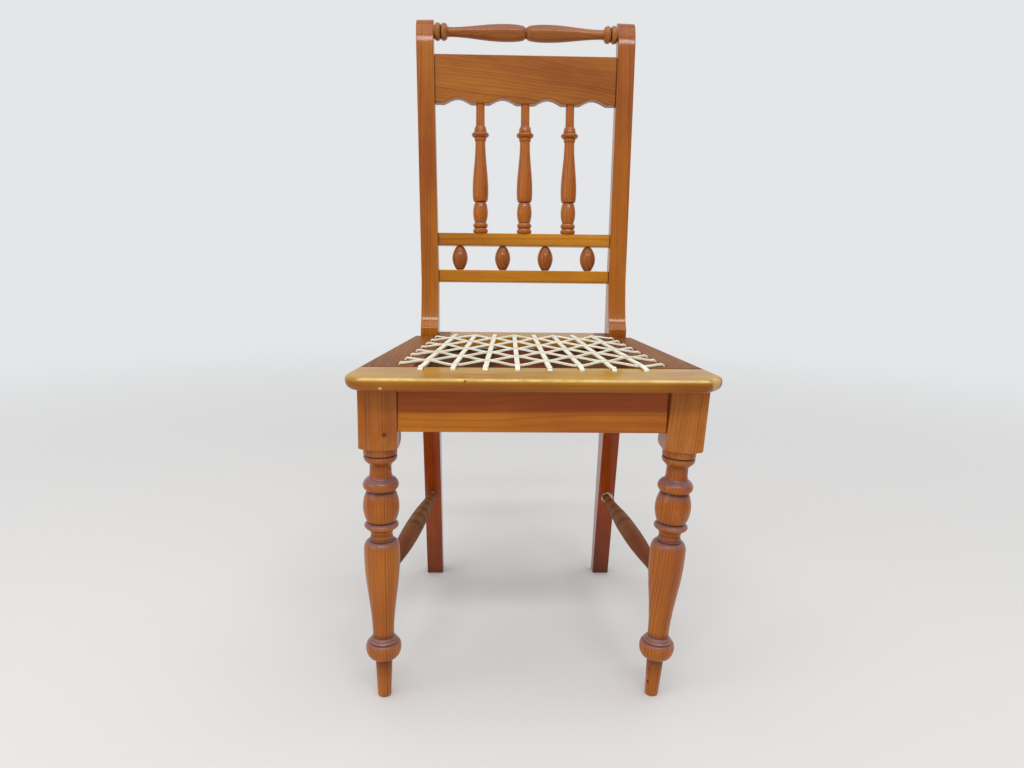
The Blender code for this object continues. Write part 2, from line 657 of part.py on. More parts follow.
def leg_profile():
    belly = BLOCK_BOTTOM - BELLY_DROP
    barrel = BLOCK_BOTTOM - BARREL_DROP
    ring = BLOCK_BOTTOM - RING_DROP
    collar = BLOCK_BOTTOM - COLLAR_DROP
    shoulder = BLOCK_BOTTOM - 0.0055
    drum = LEG_RADIUS * 0.94
    blank = BLOCK_SIDE * 0.765
    rounding = [(shoulder + 0.008 * (1 - cos(radians(a))), drum + (blank - drum) * sin(radians(a)))
                for a in (0, 35, 65, 90)]
    return (
        [(0, FOOT_RADIUS), (BUN, 0.0112)]
        + bead(BUN + 0.0003, BUN + 0.0240, 0.0130, LEG_RADIUS, 5, 0.0192)
        + [(BUN + 0.0262, 0.0172), (ANKLE - 0.0020, 0.0148)]
        + sweep(ANKLE, 0.0137, belly - 0.005, LEG_RADIUS, 5)
        + from_level(belly + 0.003, LEG_RADIUS, belly + 0.0155, 0.0166, 3)
        + [(belly + 0.0170, 0.0158), (belly + 0.0232, NECK_RADIUS), (barrel - 0.0130, 0.0148)]
        + bead(barrel - 0.0095, barrel - 0.0008, 0.0192, 0.0218, 3)
        + bead(barrel, ring - 0.0015, 0.0184, LEG_RADIUS, 5)
        + bead(ring, ring + 0.0140, 0.0194, 0.0227, 3)
        + to_level(ring + 0.0150, 0.0198, collar - 0.0040, NECK_RADIUS, 3)
        + bead(collar, collar + 0.0110, 0.0168, 0.0204, 3)
        + [(collar + 0.0125, 0.0219), (shoulder, drum)]
        + rounding + [(FRAME_TOP, blank)])


def radius_at(profile, height):
    for (low, low_radius), (high, high_radius) in zip(profile, profile[1:]):
        if low <= height <= high:
            share = (height - low) / max(high - low, 0.000001)
            return low_radius + (high_radius - low_radius) * share
    return profile[-1][1]


def build_front_leg(name, side, lean):
    """A turned leg cut from a square blank, leaning from the top inner edge of its block."""
    leg = turned(name, leg_profile(), LEG_STEPS, PINE_LEG)
    half = BLOCK_SIDE / 2
    blank = add_cutter(name + "_blank", box_mesh(name + "_blank", (-half, -half, -0.01), (half, half, FRAME_TOP + 0.01)))
    combine(leg, blank, "INTERSECT")
    leg.rotation_euler = (0, lean, 0)
    turn = leg.rotation_euler.to_matrix()
    corner = Vector((side * LEG_INNER, LEG_Y, FRAME_TOP))
    leg.location = corner - turn @ Vector((-side * half, 0, FRAME_TOP))
    blank.rotation_euler = leg.rotation_euler
    blank.location = leg.location
    floor = box_mesh(name + "_floor", (-0.03, -0.03, -0.03), (0.03, 0.03, 0))
    if lean:
        ground = add_cutter(name + "_floor", floor, location=(leg.location.x, LEG_Y, 0))
        combine(leg, ground, "DIFFERENCE")
    return leg


# Aprons and braces

APRON_FRONT_Y = LEG_SETBACK + APRON_RECESS
TENON_LOW = APRON_BOTTOM + APRON_SHOULDER
TENON_HIGH = FRAME_TOP - APRON_SHOULDER
TENON_HALF = APRON_THICK / 2 - APRON_SHOULDER


def side_apron_x(y):
    """Middle of the side apron, from the leg block to the post's toe."""
    front = LEG_OUTER - APRON_RECESS - APRON_THICK / 2
    return front + (POST_X - front) * (y - BLOCK_REAR) / (TOE_FRONT - BLOCK_REAR)


def side_bar(side, half, front, rear):
    """Plan of a bar along the side apron's middle line."""
    points = [(side_apron_x(front) - half, front), (side_apron_x(front) + half, front),
              (side_apron_x(rear) + half, rear), (side_apron_x(rear) - half, rear)]
    return points if side == RIGHT else mirrored(points)


def build_side_apron(name, side, leg, post):
    body = outline_mesh(name, side_bar(side, APRON_THICK / 2, BLOCK_REAR + GAP, TOE_FRONT - GAP),
                        APRON_BOTTOM, FRAME_TOP)
    apron = add_part(name, body, PINE_APRON)
    front, rear = BLOCK_REAR - APRON_TENON, TOE_FRONT + APRON_TENON
    tongue = outline_mesh(name + "_tongue", side_bar(side, TENON_HALF, front, rear), TENON_LOW, TENON_HIGH)
    combine(apron, add_cutter(name + "_tongue", tongue), "UNION")
    room = outline_mesh(name + "_mortise", side_bar(side, TENON_HALF + GAP, front - GAP, rear + GAP),
                        TENON_LOW - GAP, TENON_HIGH + GAP)
    mortise = add_cutter(name + "_mortise", room)
    combine(leg, mortise, "DIFFERENCE")
    combine(post, mortise, "DIFFERENCE")


def build_cross_apron(name, ends, front, tenon_reach, carriers, outline):
    """An apron along X: its outline, its tongue from side to side and the mortises for it."""
    body = outline_mesh(name, outline, -front - APRON_THICK, -front, "XZ", RAIL_CHAMFER)
    apron = add_part(name, body, PINE_APRON)
    low = (ends[0] - tenon_reach, front + APRON_SHOULDER, TENON_LOW)
    high = (ends[1] + tenon_reach, front + APRON_THICK - APRON_SHOULDER, TENON_HIGH)
    combine(apron, add_cutter(name + "_tongue", box_mesh(name + "_tongue", low, high)), "UNION")
    room = box_mesh(name + "_mortise", [value - GAP for value in low], [value + GAP for value in high])
    mortise = add_cutter(name + "_mortise", room)
    for carrier in carriers:
        combine(carrier, mortise, "DIFFERENCE")


def build_aprons(legs, posts):
    lean_drop = APRON_HEIGHT * tan(LEG_LEAN)
    left_end = -LEG_INNER + GAP
    right_end = LEG_INNER - lean_drop - GAP
    front_outline = [(left_end, APRON_BOTTOM), (right_end, APRON_BOTTOM), (right_end, FRAME_TOP), (left_end, FRAME_TOP)]
    build_cross_apron("front_apron", (left_end, right_end), APRON_FRONT_Y, APRON_TENON, legs, front_outline)
    rear_front = SEAT_DEPTH - APRON_RECESS - APRON_THICK
    low, high = APRON_BOTTOM - SEAT_HEIGHT, FRAME_TOP - SEAT_HEIGHT
    rear_outline = [(x, z + SEAT_HEIGHT) for x, z in level_rail(low, high - low, raked=False)]
    ends = post_gap(low, raked=False)
    build_cross_apron("rear_apron", (-ends, ends), rear_front, APRON_TENON, posts, rear_outline)
    for name, side in (("left_apron", LEFT), ("right_apron", RIGHT)):
        index = 0 if side == LEFT else 1
        build_side_apron(name, side, legs[index], posts[index])


def build_brace(name, side, corner_y, direction):
    """A diagonal brace under the seat from a cross apron to a side apron."""
    def inner(y):
        return side_apron_x(y) - APRON_THICK / 2 - GAP

    corner_x = inner(corner_y)
    near, far = BRACE_REACH, BRACE_REACH + BRACE_WIDTH
    y = corner_y + direction * GAP
    near_y, far_y = corner_y + direction * near, corner_y + direction * far
    points = [(corner_x - far, y), (corner_x - near, y), (inner(near_y), near_y), (inner(far_y), far_y)]
    if side == LEFT:
        points = mirrored(points)
    top = FRAME_TOP - BRACE_DROP
    add_part(name, outline_mesh(name, points, top - BRACE_HEIGHT, top), RAW_PINE)


# Side stretchers

def stretcher_profile(length, rear_tenon, front_tenon):
    fat = STRETCHER_RADIUS
    middle = length / 2
    slim = (STRETCHER_TIP + fat) / 2
    rise = [(0.002, STRETCHER_TIP), (0.020, STRETCHER_TIP * 1.28), (middle * 0.30, slim * 0.93),
            (middle * 0.53, fat * 0.84), (middle * 0.78, fat * 0.97), (middle, fat)]
    fall = [(length - place, radius) for place, radius in reversed(rise[:-1])]
    return [(-rear_tenon, STRETCHER_TIP)] + rise + fall + [(length + front_tenon, STRETCHER_TIP)]


def build_stretcher(name, side, rear_height, leg, post):
    bpy.context.view_layer.update()
    rear = Vector((side * (POST_X + post_shift(rear_height)), rear_leg_face(rear_height), rear_height))
    turn = leg.rotation_euler.to_matrix()
    front = leg.location + turn @ Vector((0, 0, STRETCHER_FRONT))
    loose = side == RIGHT
    tip = Vector(rear)
    if loose:
        tip += Vector((0.0008, 0, -0.0008))
    along = (front - tip).normalized()
    leg_radius = radius_at(leg_profile(), STRETCHER_FRONT)
    length = (front - tip).length - leg_radius
    pulled = 0.004 if loose else 0
    profile = stretcher_profile(length, STRETCHER_TENON - GAP - pulled, STRETCHER_TENON - GAP)
    stretcher = turned(name, profile, SLIM_STEPS, DULL_PINE, location=tip)
    stretcher.rotation_euler = along.to_track_quat("Z", "Y").to_euler()
    room = (LOOSE_RADIUS if loose else STRETCHER_TIP + GAP)
    socket = pegs_mesh(name + "_socket", [(rear + along * 0.01, rear - along * STRETCHER_TENON)], room, 14)
    combine(post, add_cutter(name + "_socket", socket), "DIFFERENCE")
    if loose:
        torn = pegs_mesh(name + "_torn", [(rear + along * 0.01, rear - along * TORN_DEPTH)], TORN_RADIUS, 14)
        combine(post, add_cutter(name + "_torn", torn), "DIFFERENCE")
    bore = [(front - along * (leg_radius + 0.01), front - along * (leg_radius - STRETCHER_TENON))]
    combine(leg, add_cutter(name + "_bore", pegs_mesh(name + "_bore", bore, STRETCHER_TIP + GAP, 14)), "DIFFERENCE")


# Thong lacing

THONG_LOW = SEAT_HEIGHT + THONG_LIFT + THONG_THICK / 2
THONG_HIGH = THONG_LOW + THONG_THICK - THONG_FUSE
RUN_TOP = BOARD_UNDER - GAP


def thong_strip(name, points, across):
    """A flat thong along a line of points, with its width across."""
    bm = bmesh.new()
    side = Vector(across) * THONG_WIDTH / 2
    near = [bm.verts.new(Vector(p) - side) for p in points]
    for a, b in zip(near, near[1:]):
        bm.edges.new((a, b))
    made = bmesh.ops.extrude_edge_only(bm, edges=bm.edges[:])
    moved = [item for item in made["geom"] if isinstance(item, bmesh.types.BMVert)]
    bmesh.ops.translate(bm, vec=side * 2, verts=moved)
    bmesh.ops.recalc_face_normals(bm, faces=bm.faces)
    strip = add_cutter(name, mesh_from(bm, name))
    shell = strip.modifiers.new("thickness", "SOLIDIFY")
    shell.thickness = THONG_THICK
    shell.offset = 0
    shell.use_even_offset = True
    return strip


def hole_dip(hole, inward):
    """Where a thong comes up through its hole and turns over the rim, in a unit direction."""
    steps = ((0, RUN_TOP - THONG_THICK / 2), (0.0003, SEAT_HEIGHT), (0.0025, THONG_LOW))
    return [(hole[0] + inward[0] * reach, hole[1] + inward[1] * reach, z) for reach, z in steps]


def strand_y(strand, strap):
    """Strands draw together in pairs at each strap, and swap partners at the next one."""
    own = FIRST_STRAND + strand * SIDE_HOLE_PITCH
    kiss = (THONG_WIDTH + 2 * GAP) / 2
    if (strand + strap) % 2 == 0:
        drawn = own + SIDE_HOLE_PITCH / 2 - kiss
    else:
        drawn = own - SIDE_HOLE_PITCH / 2 + kiss
    first, last = 0, THONGS - 1
    if strand == last and (strand + strap) % 2 == 0:
        drawn = own + SIDE_HOLE_PITCH * 0.2
    if strand == first and (strand + strap) % 2 == 1:
        drawn = own - SIDE_HOLE_PITCH * 0.4
    return drawn


def strap_x(strap, y):
    (front_x, front_y), (rear_x, rear_y) = front_holes()[strap], rear_holes()[strap]
    return front_x + (rear_x - front_x) * (y - front_y) / (rear_y - front_y)


def unit(start, end):
    step = Vector((end[0] - start[0], end[1] - start[1]))
    return step.normalized()


def under_run(name, start, end):
    """A thong on the underside of a board, from one hole to the next."""
    along = unit(start, end) * THONG_WIDTH / 2
    side = Vector((-along.y, along.x))
    a, b = Vector(start) - along, Vector(end) + along
    corners = [tuple(p) for p in (a - side, b - side, b + side, a + side)]
    add_cutter(name, outline_mesh(name, corners, RUN_TOP - THONG_THICK, RUN_TOP))


def knot(name, place):
    """The knotted end of a thong, under a board."""
    peg = ((place[0], place[1], RUN_TOP - 0.005), (place[0], place[1], RUN_TOP))
    add_cutter(name, pegs_mesh(name, [peg], HOLE_RADIUS * 1.45, 8))


def build_lacing():
    left, right = side_holes(LEFT), side_holes(RIGHT)
    front, rear = front_holes(), rear_holes()
    strips = []
    for strap in range(THONGS):
        ahead = unit(front[strap], rear[strap])
        points = hole_dip(front[strap], ahead)
        for strand in range(THONGS):
            y = strand_y(strand, strap)
            over = (strap + strand) % 2 == 1
            points.append((strap_x(strap, y), y, THONG_HIGH if over else THONG_LOW))
        points += reversed(hole_dip(rear[strap], -ahead))
        strips.append(thong_strip(f"strap_{strap}", points, (ahead.y, -ahead.x, 0)))
    for strand in range(THONGS):
        points = hole_dip(left[strand], (1, 0))
        for strap in range(THONGS):
            y = strand_y(strand, strap)
            over = (strap + strand) % 2 == 0
            points.append((strap_x(strap, y), y, THONG_HIGH if over else THONG_LOW))
        points += reversed(hole_dip(right[strand], (-1, 0)))
        strips.append(thong_strip(f"strand_{strand}", points, (0, 1, 0)))
    for pair in range(0, THONGS, 2):
        under_run(f"front_run_{pair}", front[pair], front[pair + 1])
        under_run(f"left_run_{pair}", left[pair], left[pair + 1])
    for pair in range(1, THONGS - 1, 2):
        under_run(f"rear_run_{pair}", rear[pair], rear[pair + 1])
        under_run(f"right_run_{pair}", right[pair], right[pair + 1])
    inwards = [(x - 0.002, y) for x, y in (right[0], right[-1])]
    for number, place in enumerate([rear[0], rear[-1]] + inwards):
        knot(f"knot_{number}", place)
    core = pegs_mesh("seat_lacing", [((front[0][0], front[0][1], RUN_TOP - 0.0012),
                                      (front[0][0], front[0][1], RUN_TOP - 0.0004))], 0.002, 6)
    lacing = add_part("seat_lacing", core, HIDE)
    pieces = [item for item in CUTTERS.objects
              if item.name.startswith(("strap_", "strand_", "front_run", "rear_run", "left_run", "right_run", "knot_"))]
    for piece in pieces:
        combine(lacing, piece, "UNION")


def build_chair():
    chip_front_corner(build_seat_boards())
    posts = [build_post("back_post_left", LEFT), build_post("back_post_right", RIGHT)]
    legs = [build_front_leg("front_leg_left", LEFT, 0), build_front_leg("front_leg_right", RIGHT, LEG_LEAN)]
    build_aprons(legs, posts)
    build_back(posts)
    build_crest_rail(posts)
    build_stretcher("side_stretcher_left", LEFT, LEFT_STRETCHER_REAR, legs[0], posts[0])
    build_stretcher("side_stretcher_right", RIGHT, RIGHT_STRETCHER_REAR, legs[1], posts[1])
    front_corner = APRON_FRONT_Y + APRON_THICK
    rear_corner = SEAT_DEPTH - APRON_RECESS - APRON_THICK
    build_brace("brace_front_left", LEFT, front_corner, 1)
    build_brace("brace_front_right", RIGHT, front_corner, 1)
    build_brace("brace_rear_left", LEFT, rear_corner, -1)
    build_brace("brace_rear_right", RIGHT, rear_corner, -1)
    build_lacing()


build_chair()
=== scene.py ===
import bmesh
import bpy
from math import atan2, cos, pi, radians, sin, tan
from mathutils import Euler, Matrix, Vector


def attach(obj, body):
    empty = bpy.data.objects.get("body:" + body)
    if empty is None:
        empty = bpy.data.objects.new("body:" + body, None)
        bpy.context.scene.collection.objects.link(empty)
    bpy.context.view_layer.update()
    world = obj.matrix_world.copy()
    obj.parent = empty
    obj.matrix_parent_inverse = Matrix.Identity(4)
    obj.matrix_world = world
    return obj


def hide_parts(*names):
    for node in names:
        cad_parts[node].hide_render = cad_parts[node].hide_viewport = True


# The broken wooden chair: varnished pine turned on a lathe, sawn back posts, and a seat laced
# with ivory thongs. Lengths are metres, z is up, and the chair faces -y.

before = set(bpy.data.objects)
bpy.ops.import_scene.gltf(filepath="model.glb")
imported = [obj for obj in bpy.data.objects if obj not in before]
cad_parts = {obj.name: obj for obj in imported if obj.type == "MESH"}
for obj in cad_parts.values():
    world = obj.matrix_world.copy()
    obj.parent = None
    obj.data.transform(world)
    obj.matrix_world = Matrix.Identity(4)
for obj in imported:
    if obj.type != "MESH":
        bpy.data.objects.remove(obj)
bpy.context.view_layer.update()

# Sizes shared with the solids
FRONT_EDGE = -0.24299       # front edge of the seat; depths below are measured back from it
SEAT_HEIGHT = 0.440
SEAT_WIDTH = 0.458
SEAT_DEPTH = 0.413
BOARD_THICK = 0.0168
BOARD_UNDER = SEAT_HEIGHT - BOARD_THICK
FRAME_TOP = BOARD_UNDER - 0.0003
CORNER_RADIUS = 0.030
SIDE_ANGLE = radians(9.45)
OPENING_ANGLE = radians(7.6)
FRONT_BOARD = 0.083
OPENING_REAR = 0.347
SIDE_BOARD = 0.0674
BLOCK_SIDE = 0.0478
BLOCK_BOTTOM = 0.349
APRON_BOTTOM = 0.3673
LEG_DEPTH = 0.0549
LEG_X = 0.1918
LEG_INNER = 0.1679
LEG_LEAN = radians(3.5)
POST_WIDTH = 0.0276
POST_X = 0.15025
POST_THICK = 0.024
BACK_RAKE = radians(8.5)
BACK_MIDDLE = 0.3835
TOP_HEIGHT = 0.935
UPPER_RAIL_TOP = 0.1615
LOWER_RAIL_TOP = 0.1026
UPPER_RAIL_BOTTOM = 0.1419
HEAD_RAIL_BOTTOM = 0.3669
HEAD_RAIL_TOP = 0.4426
CREST_RISE = 0.4797
HEAD_PITCH = 0.0720
SPINDLE_PITCH = 0.0703
BEAD_PITCH = 0.0687
THONGS = 8
KNEE = APRON_BOTTOM - 0.012      # where the posts bend into the rear legs
TOE = SEAT_DEPTH - 0.054         # front face of the posts at the seat
FOOT_REAR = SEAT_DEPTH + 0.054
FOOT_FRONT = FOOT_REAR - 0.025
POST_SPLAY = radians(1.55)       # the posts spread from this far above the seat
SPLAY_START = 0.085
FOOT_SPLAY = radians(0.28)
LEFT_BAR_HEIGHT = 0.1610         # rear ends of the stretchers
RIGHT_BAR_HEIGHT = 0.1545
BAR_FRONT = 0.161                # height of their front ends, and the leg's radius there
LEG_AT_BAR = 0.0203
BAR_TIP = 0.0054
SHORT_TENON, TENON = 0.0047, 0.0087
SLIPPED = Vector((0.0008, 0, -0.0008))     # the loose end's place in its worn hole
DRILL = 0.0038
LEFT, RIGHT = -1, 1


# Working at the bench

def open_mesh():
    bpy.ops.object.mode_set(mode="EDIT")
    bpy.ops.mesh.select_mode(type="VERT")
    bpy.ops.mesh.select_all(action="SELECT")


def close_mesh():
    bpy.ops.object.mode_set(mode="OBJECT")


def pick_all():
    bpy.ops.mesh.select_all(action="SELECT")


def pull(step):
    bpy.ops.mesh.extrude_region_move(TRANSFORM_OT_translate={"value": step})


def take_up(*pieces):
    """Selects these pieces alone, with the first one active."""
    bpy.ops.object.select_all(action="DESELECT")
    for piece in pieces:
        piece.select_set(True)
    bpy.context.view_layer.objects.active = pieces[0]


def set_in_mesh():
    bpy.ops.object.transform_apply(location=True, rotation=True, scale=True)


def pick(piece, kind, wanted):
    """Selects the vertices, edges or faces of the open mesh that answer a question."""
    bpy.ops.mesh.select_all(action="DESELECT")
    bpy.ops.mesh.select_mode(type=kind)
    bm = bmesh.from_edit_mesh(piece.data)
    items = {"VERT": bm.verts, "EDGE": bm.edges, "FACE": bm.faces}[kind]
    for item in items:
        if wanted(item):
            item.select_set(True)
    bm.select_flush_mode()
    bmesh.update_edit_mesh(piece.data)


def new_point(name, place):
    """A plane merged to one vertex, from which a line is drawn."""
    bpy.ops.object.select_all(action="DESELECT")
    bpy.ops.mesh.primitive_plane_add(size=0.002, location=(0, 0, 0))
    piece = bpy.context.object
    piece.name = name
    open_mesh()
    bpy.ops.mesh.merge(type="CENTER")
    bpy.ops.transform.translate(value=place)
    return piece


def draw(points):
    """Extrudes the selected vertex from point to point."""
    for start, end in zip(points, points[1:]):
        step = Vector(end) - Vector(start)
        if step.length > 0.000005:
            pull(step)


def tidy(merge=0.00002):
    pick_all()
    bpy.ops.mesh.remove_doubles(threshold=merge)
    bpy.ops.mesh.normals_make_consistent(inside=False)


def lathe(name, profile, around=56):
    """Draws a profile of (height, radius) from the bottom up and spins it round the Z axis."""
    closed = [(profile[0][0], 0)] + profile + [(profile[-1][0], 0)]
    line = [(radius, 0, height) for height, radius in closed]
    piece = new_point(name, line[0])
    draw(line)
    pick_all()
    bpy.ops.mesh.spin(steps=around, angle=2 * pi, center=(0, 0, 0), axis=(0, 0, 1))
    tidy()
    close_mesh()
    return piece


def sawn(name, outline, low, high, view):
    """A closed outline, filled and extruded: drawn from above, from the side or from the front."""
    deep = high - low
    stand, across = {"top": (lambda a, b: (a, b, low), (0, 0, deep)),
                     "side": (lambda a, b: (low, a, b), (deep, 0, 0)),
                     "front": (lambda a, b: (a, low, b), (0, deep, 0))}[view]
    line = [stand(a, b) for a, b in outline]
    piece = new_point(name, line[0])
    draw(line + [line[0]])
    tidy()
    bpy.ops.mesh.edge_face_add()
    pull(across)
    tidy()
    close_mesh()
    return piece


def modify(piece, kind, **settings):
    """Adds a modifier and applies it."""
    bpy.context.view_layer.objects.active = piece
    change = piece.modifiers.new(kind.lower(), kind)
    for key, value in settings.items():
        setattr(change, key, value)
    bpy.ops.object.modifier_apply(modifier=change.name)
    return piece


def cut(piece, other, operation="DIFFERENCE"):
    modify(piece, "BOOLEAN", operation=operation, object=other, solver="EXACT")
    bpy.data.objects.remove(other, do_unlink=True)
    return piece


def block(name, low, high):
    size = [b - a for a, b in zip(low, high)]
    middle = [(a + b) / 2 for a, b in zip(low, high)]
    bpy.ops.object.select_all(action="DESELECT")
    bpy.ops.mesh.primitive_cube_add(size=1, location=middle, scale=size)
    piece = bpy.context.object
    piece.name = name
    set_in_mesh()
    return piece


def join(pieces, name):
    take_up(*pieces)
    if len(pieces) > 1:
        bpy.ops.object.join()
    pieces[0].name = name
    return pieces[0]


def pegs(name, ends, radius, around):
    """Round cutters between pairs of points, joined in one mesh."""
    made = []
    for start, end in ends:
        axis = Vector(end) - Vector(start)
        bpy.ops.mesh.primitive_cylinder_add(vertices=around, radius=radius, depth=axis.length,
                                            location=(Vector(start) + Vector(end)) / 2,
                                            rotation=axis.to_track_quat("Z", "Y").to_euler())
        made.append(bpy.context.object)
    peg = join(made, name)
    set_in_mesh()
    return peg


def copy_of(piece, name):
    """A copy with its own mesh."""
    twin = piece.copy()
    twin.data = piece.data.copy()
    twin.name = name
    bpy.context.scene.collection.objects.link(twin)
    return twin


def settle(piece, place=(0, 0, 0), lean=(0, 0, 0)):
    """Leans and moves a piece, and leaves its object at the origin with its place in its mesh."""
    take_up(piece)
    piece.rotation_euler = lean
    piece.location = place
    set_in_mesh()
    return piece


def read_hollows(piece, scale=0.009):
    """Marks how hollow (above 0) or how proud (below 0) the surface is, for stain with painted shade in the hollows,
    and for wear.
    """
    bm = bmesh.new()
    bm.from_mesh(piece.data)
    bm.verts.ensure_lookup_table()
    hollow = []
    for vert in bm.verts:
        steps = [edge.other_vert(vert).co - vert.co for edge in vert.link_edges]
        total = sum(vert.normal.dot(step) / max(step.length_squared, 1e-8) for step in steps)
        hollow.append(total / max(len(steps), 1) * scale)
    for _ in range(2):
        hollow = [(hollow[v.index] + sum(hollow[e.other_vert(v).index] for e in v.link_edges))
                  / (1 + len(v.link_edges)) for v in bm.verts]
    bm.free()
    marks = piece.data.attributes.new("hollow", "FLOAT", "POINT")
    marks.data.foreach_set("value", [max(-1.0, min(1.0, value)) for value in hollow])


def hand_over(piece, node, finish, angle=32):
    """Gives a finished piece its surface and puts it in its CAD node's place."""
    piece.data.materials.clear()
    piece.data.materials.append(finish)
    take_up(piece)
    bpy.ops.object.shade_smooth_by_angle(angle=radians(angle))
    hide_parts(node)
    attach(piece, "root")


# Lines that shapes are drawn from

def mix(low, high, share):
    return low + (high - low) * share


def arc(centre, radius, start, end, steps):
    turns = [radians(start + (end - start) * i / steps) for i in range(steps + 1)]
    return [(centre[0] + radius * cos(a), centre[1] + radius * sin(a)) for a in turns]


def bend(start, corner, end, steps):
    points = []
    for i in range(steps + 1):
        t = i / steps
        weights = ((1 - t) ** 2, 2 * t * (1 - t), t ** 2)
        points.append(tuple(sum(w * p[k] for w, p in zip(weights, (start, corner, end))) for k in (0, 1)))
    return points


def bead(low, high, root, belly, steps=10, top=None):
    """A rounded swelling of a turned profile."""
    top = root if top is None else top
    moves = []
    for i in range(steps + 1):
        core = mix(root, top, i / steps)
        moves.append((mix(low, high, i / steps), mix(core, belly, sin(pi * i / steps) ** 0.8)))
    return moves


def sweep(low, low_radius, high, high_radius, steps=10):
    moves = []
    for i in range(steps + 1):
        share = (1 - cos(pi * i / steps)) / 2
        moves.append((mix(low, high, i / steps), mix(low_radius, high_radius, share)))
    return moves


def quarter(steps):
    return [pi / 2 * i / steps for i in range(steps + 1)]


def from_level(low, low_radius, high, high_radius, steps=8):
    return [(mix(low, high, sin(t)), mix(low_radius, high_radius, 1 - cos(t))) for t in quarter(steps)]


def to_level(low, low_radius, high, high_radius, steps=8):
    return [(mix(low, high, 1 - cos(t)), mix(low_radius, high_radius, sin(t))) for t in quarter(steps)]


def at(x, depth, z):
    return Vector((x, depth + FRONT_EDGE, z))


def side_x(depth):
    """Half the seat's width at a depth from its front edge."""
    tangent_x = SEAT_WIDTH / 2 - CORNER_RADIUS * (1 - cos(SIDE_ANGLE))
    return tangent_x - (depth - CORNER_RADIUS * (1 + sin(SIDE_ANGLE))) * tan(SIDE_ANGLE)


def opening_x(depth):
    """Half the width of the laced opening at a depth."""
    return side_x(FRONT_BOARD) - SIDE_BOARD - (depth - FRONT_BOARD) * tan(OPENING_ANGLE)


# Turned front legs

def leg_profile():
    """The left leg from the floor to the top of its square block."""
    belly = BLOCK_BOTTOM - 0.145
    barrel = BLOCK_BOTTOM - 0.104
    ring = BLOCK_BOTTOM - 0.0622
    collar = BLOCK_BOTTOM - 0.0275
    shoulder = BLOCK_BOTTOM - 0.0055
    rounding = to_level(shoulder, 0.0216, shoulder + 0.008, 0.0366, 9)
    return (
        [(0, 0.0068), (0.0006, 0.0080), (0.0020, 0.0088), (0.0120, 0.0093), (0.0540, 0.0112), (0.0548, 0.0120)]
        + to_level(0.0554, 0.0135, 0.0705, 0.0231, 10)
        + from_level(0.0712, 0.0231, 0.0782, 0.0197, 8)
        + [(0.0784, 0.0187), (0.0791, 0.0185), (0.0796, 0.0190), (0.0806, 0.0189), (0.0822, 0.0176), (0.0827, 0.0166)]
        + sweep(0.0830, 0.0164, 0.0866, 0.0139, 6)
        + sweep(0.087, 0.0138, belly - 0.005, 0.0230, 18)[1:]
        + from_level(belly + 0.003, 0.0230, belly + 0.0150, 0.0172, 8)
        + [(belly + 0.0152, 0.0163), (belly + 0.0172, 0.0161), (belly + 0.0180, 0.0150)]
        + sweep(belly + 0.0185, 0.0148, belly + 0.0235, 0.0138, 4)
        + sweep(belly + 0.0240, 0.0138, barrel - 0.0105, 0.0158, 4)
        + [(barrel - 0.0098, 0.0176)]
        + bead(barrel - 0.0095, barrel - 0.0012, 0.0186, 0.0219, 8)
        + [(barrel - 0.0006, 0.0176)]
        + bead(barrel, ring - 0.0015, 0.0182, 0.0231, 14)
        + [(ring - 0.0008, 0.0180)]
        + bead(ring, ring + 0.0135, 0.0190, 0.0228, 10, 0.0196)
        + [(ring + 0.0139, 0.0190), (ring + 0.0143, 0.0189)]
        + to_level(ring + 0.0146, 0.0186, ring + 0.0235, 0.0139, 8)
        + sweep(collar - 0.0032, 0.0137, collar + 0.0072, 0.0209, 8)
        + [(collar + 0.0086, 0.0213), (collar + 0.0100, 0.0211), (collar + 0.0107, 0.0202), (collar + 0.0111, 0.0189),
           (collar + 0.0119, 0.0188), (collar + 0.0123, 0.0204), (collar + 0.0129, 0.0213), (shoulder, 0.0216)]
        + rounding + [(FRAME_TOP, 0.0366)])


def make_front_legs():
    """One leg is turned and squared; its twin leans in from the top of its inner edge."""
    left = lathe("front_leg_left_turned", leg_profile(), 64)
    half = BLOCK_SIDE / 2
    blank = block("blank", (-half, -half, -0.01), (half, half, FRAME_TOP + 0.01))
    open_mesh()
    pick(blank, "EDGE", lambda edge: abs(edge.verts[0].co.z - edge.verts[1].co.z) > 0.1)
    bpy.ops.mesh.bevel(offset=0.0011, segments=3, affect="EDGES")
    close_mesh()
    cut(left, blank, "INTERSECT")
    read_hollows(left)
    right = copy_of(left, "front_leg_right_turned")
    settle(left, at(-LEG_X, LEG_DEPTH, 0))
    turn = Euler((0, LEG_LEAN, 0)).to_matrix()
    corner = at(LEG_INNER, LEG_DEPTH, FRAME_TOP)
    settle(right, corner - turn @ Vector((-half, 0, FRAME_TOP)), (0, LEG_LEAN, 0))
    bpy.context.view_layer.objects.active = right
    open_mesh()
    bpy.ops.mesh.bisect(plane_co=(0, 0, 0), plane_no=(0, 0, 1), clear_inner=True, use_fill=True)
    close_mesh()
    return left, right


# Sawn back posts

def leg_face(height):
    """Depth of the rear leg's front face below its knee."""
    return FOOT_FRONT + (TOE - FOOT_FRONT) * height / KNEE


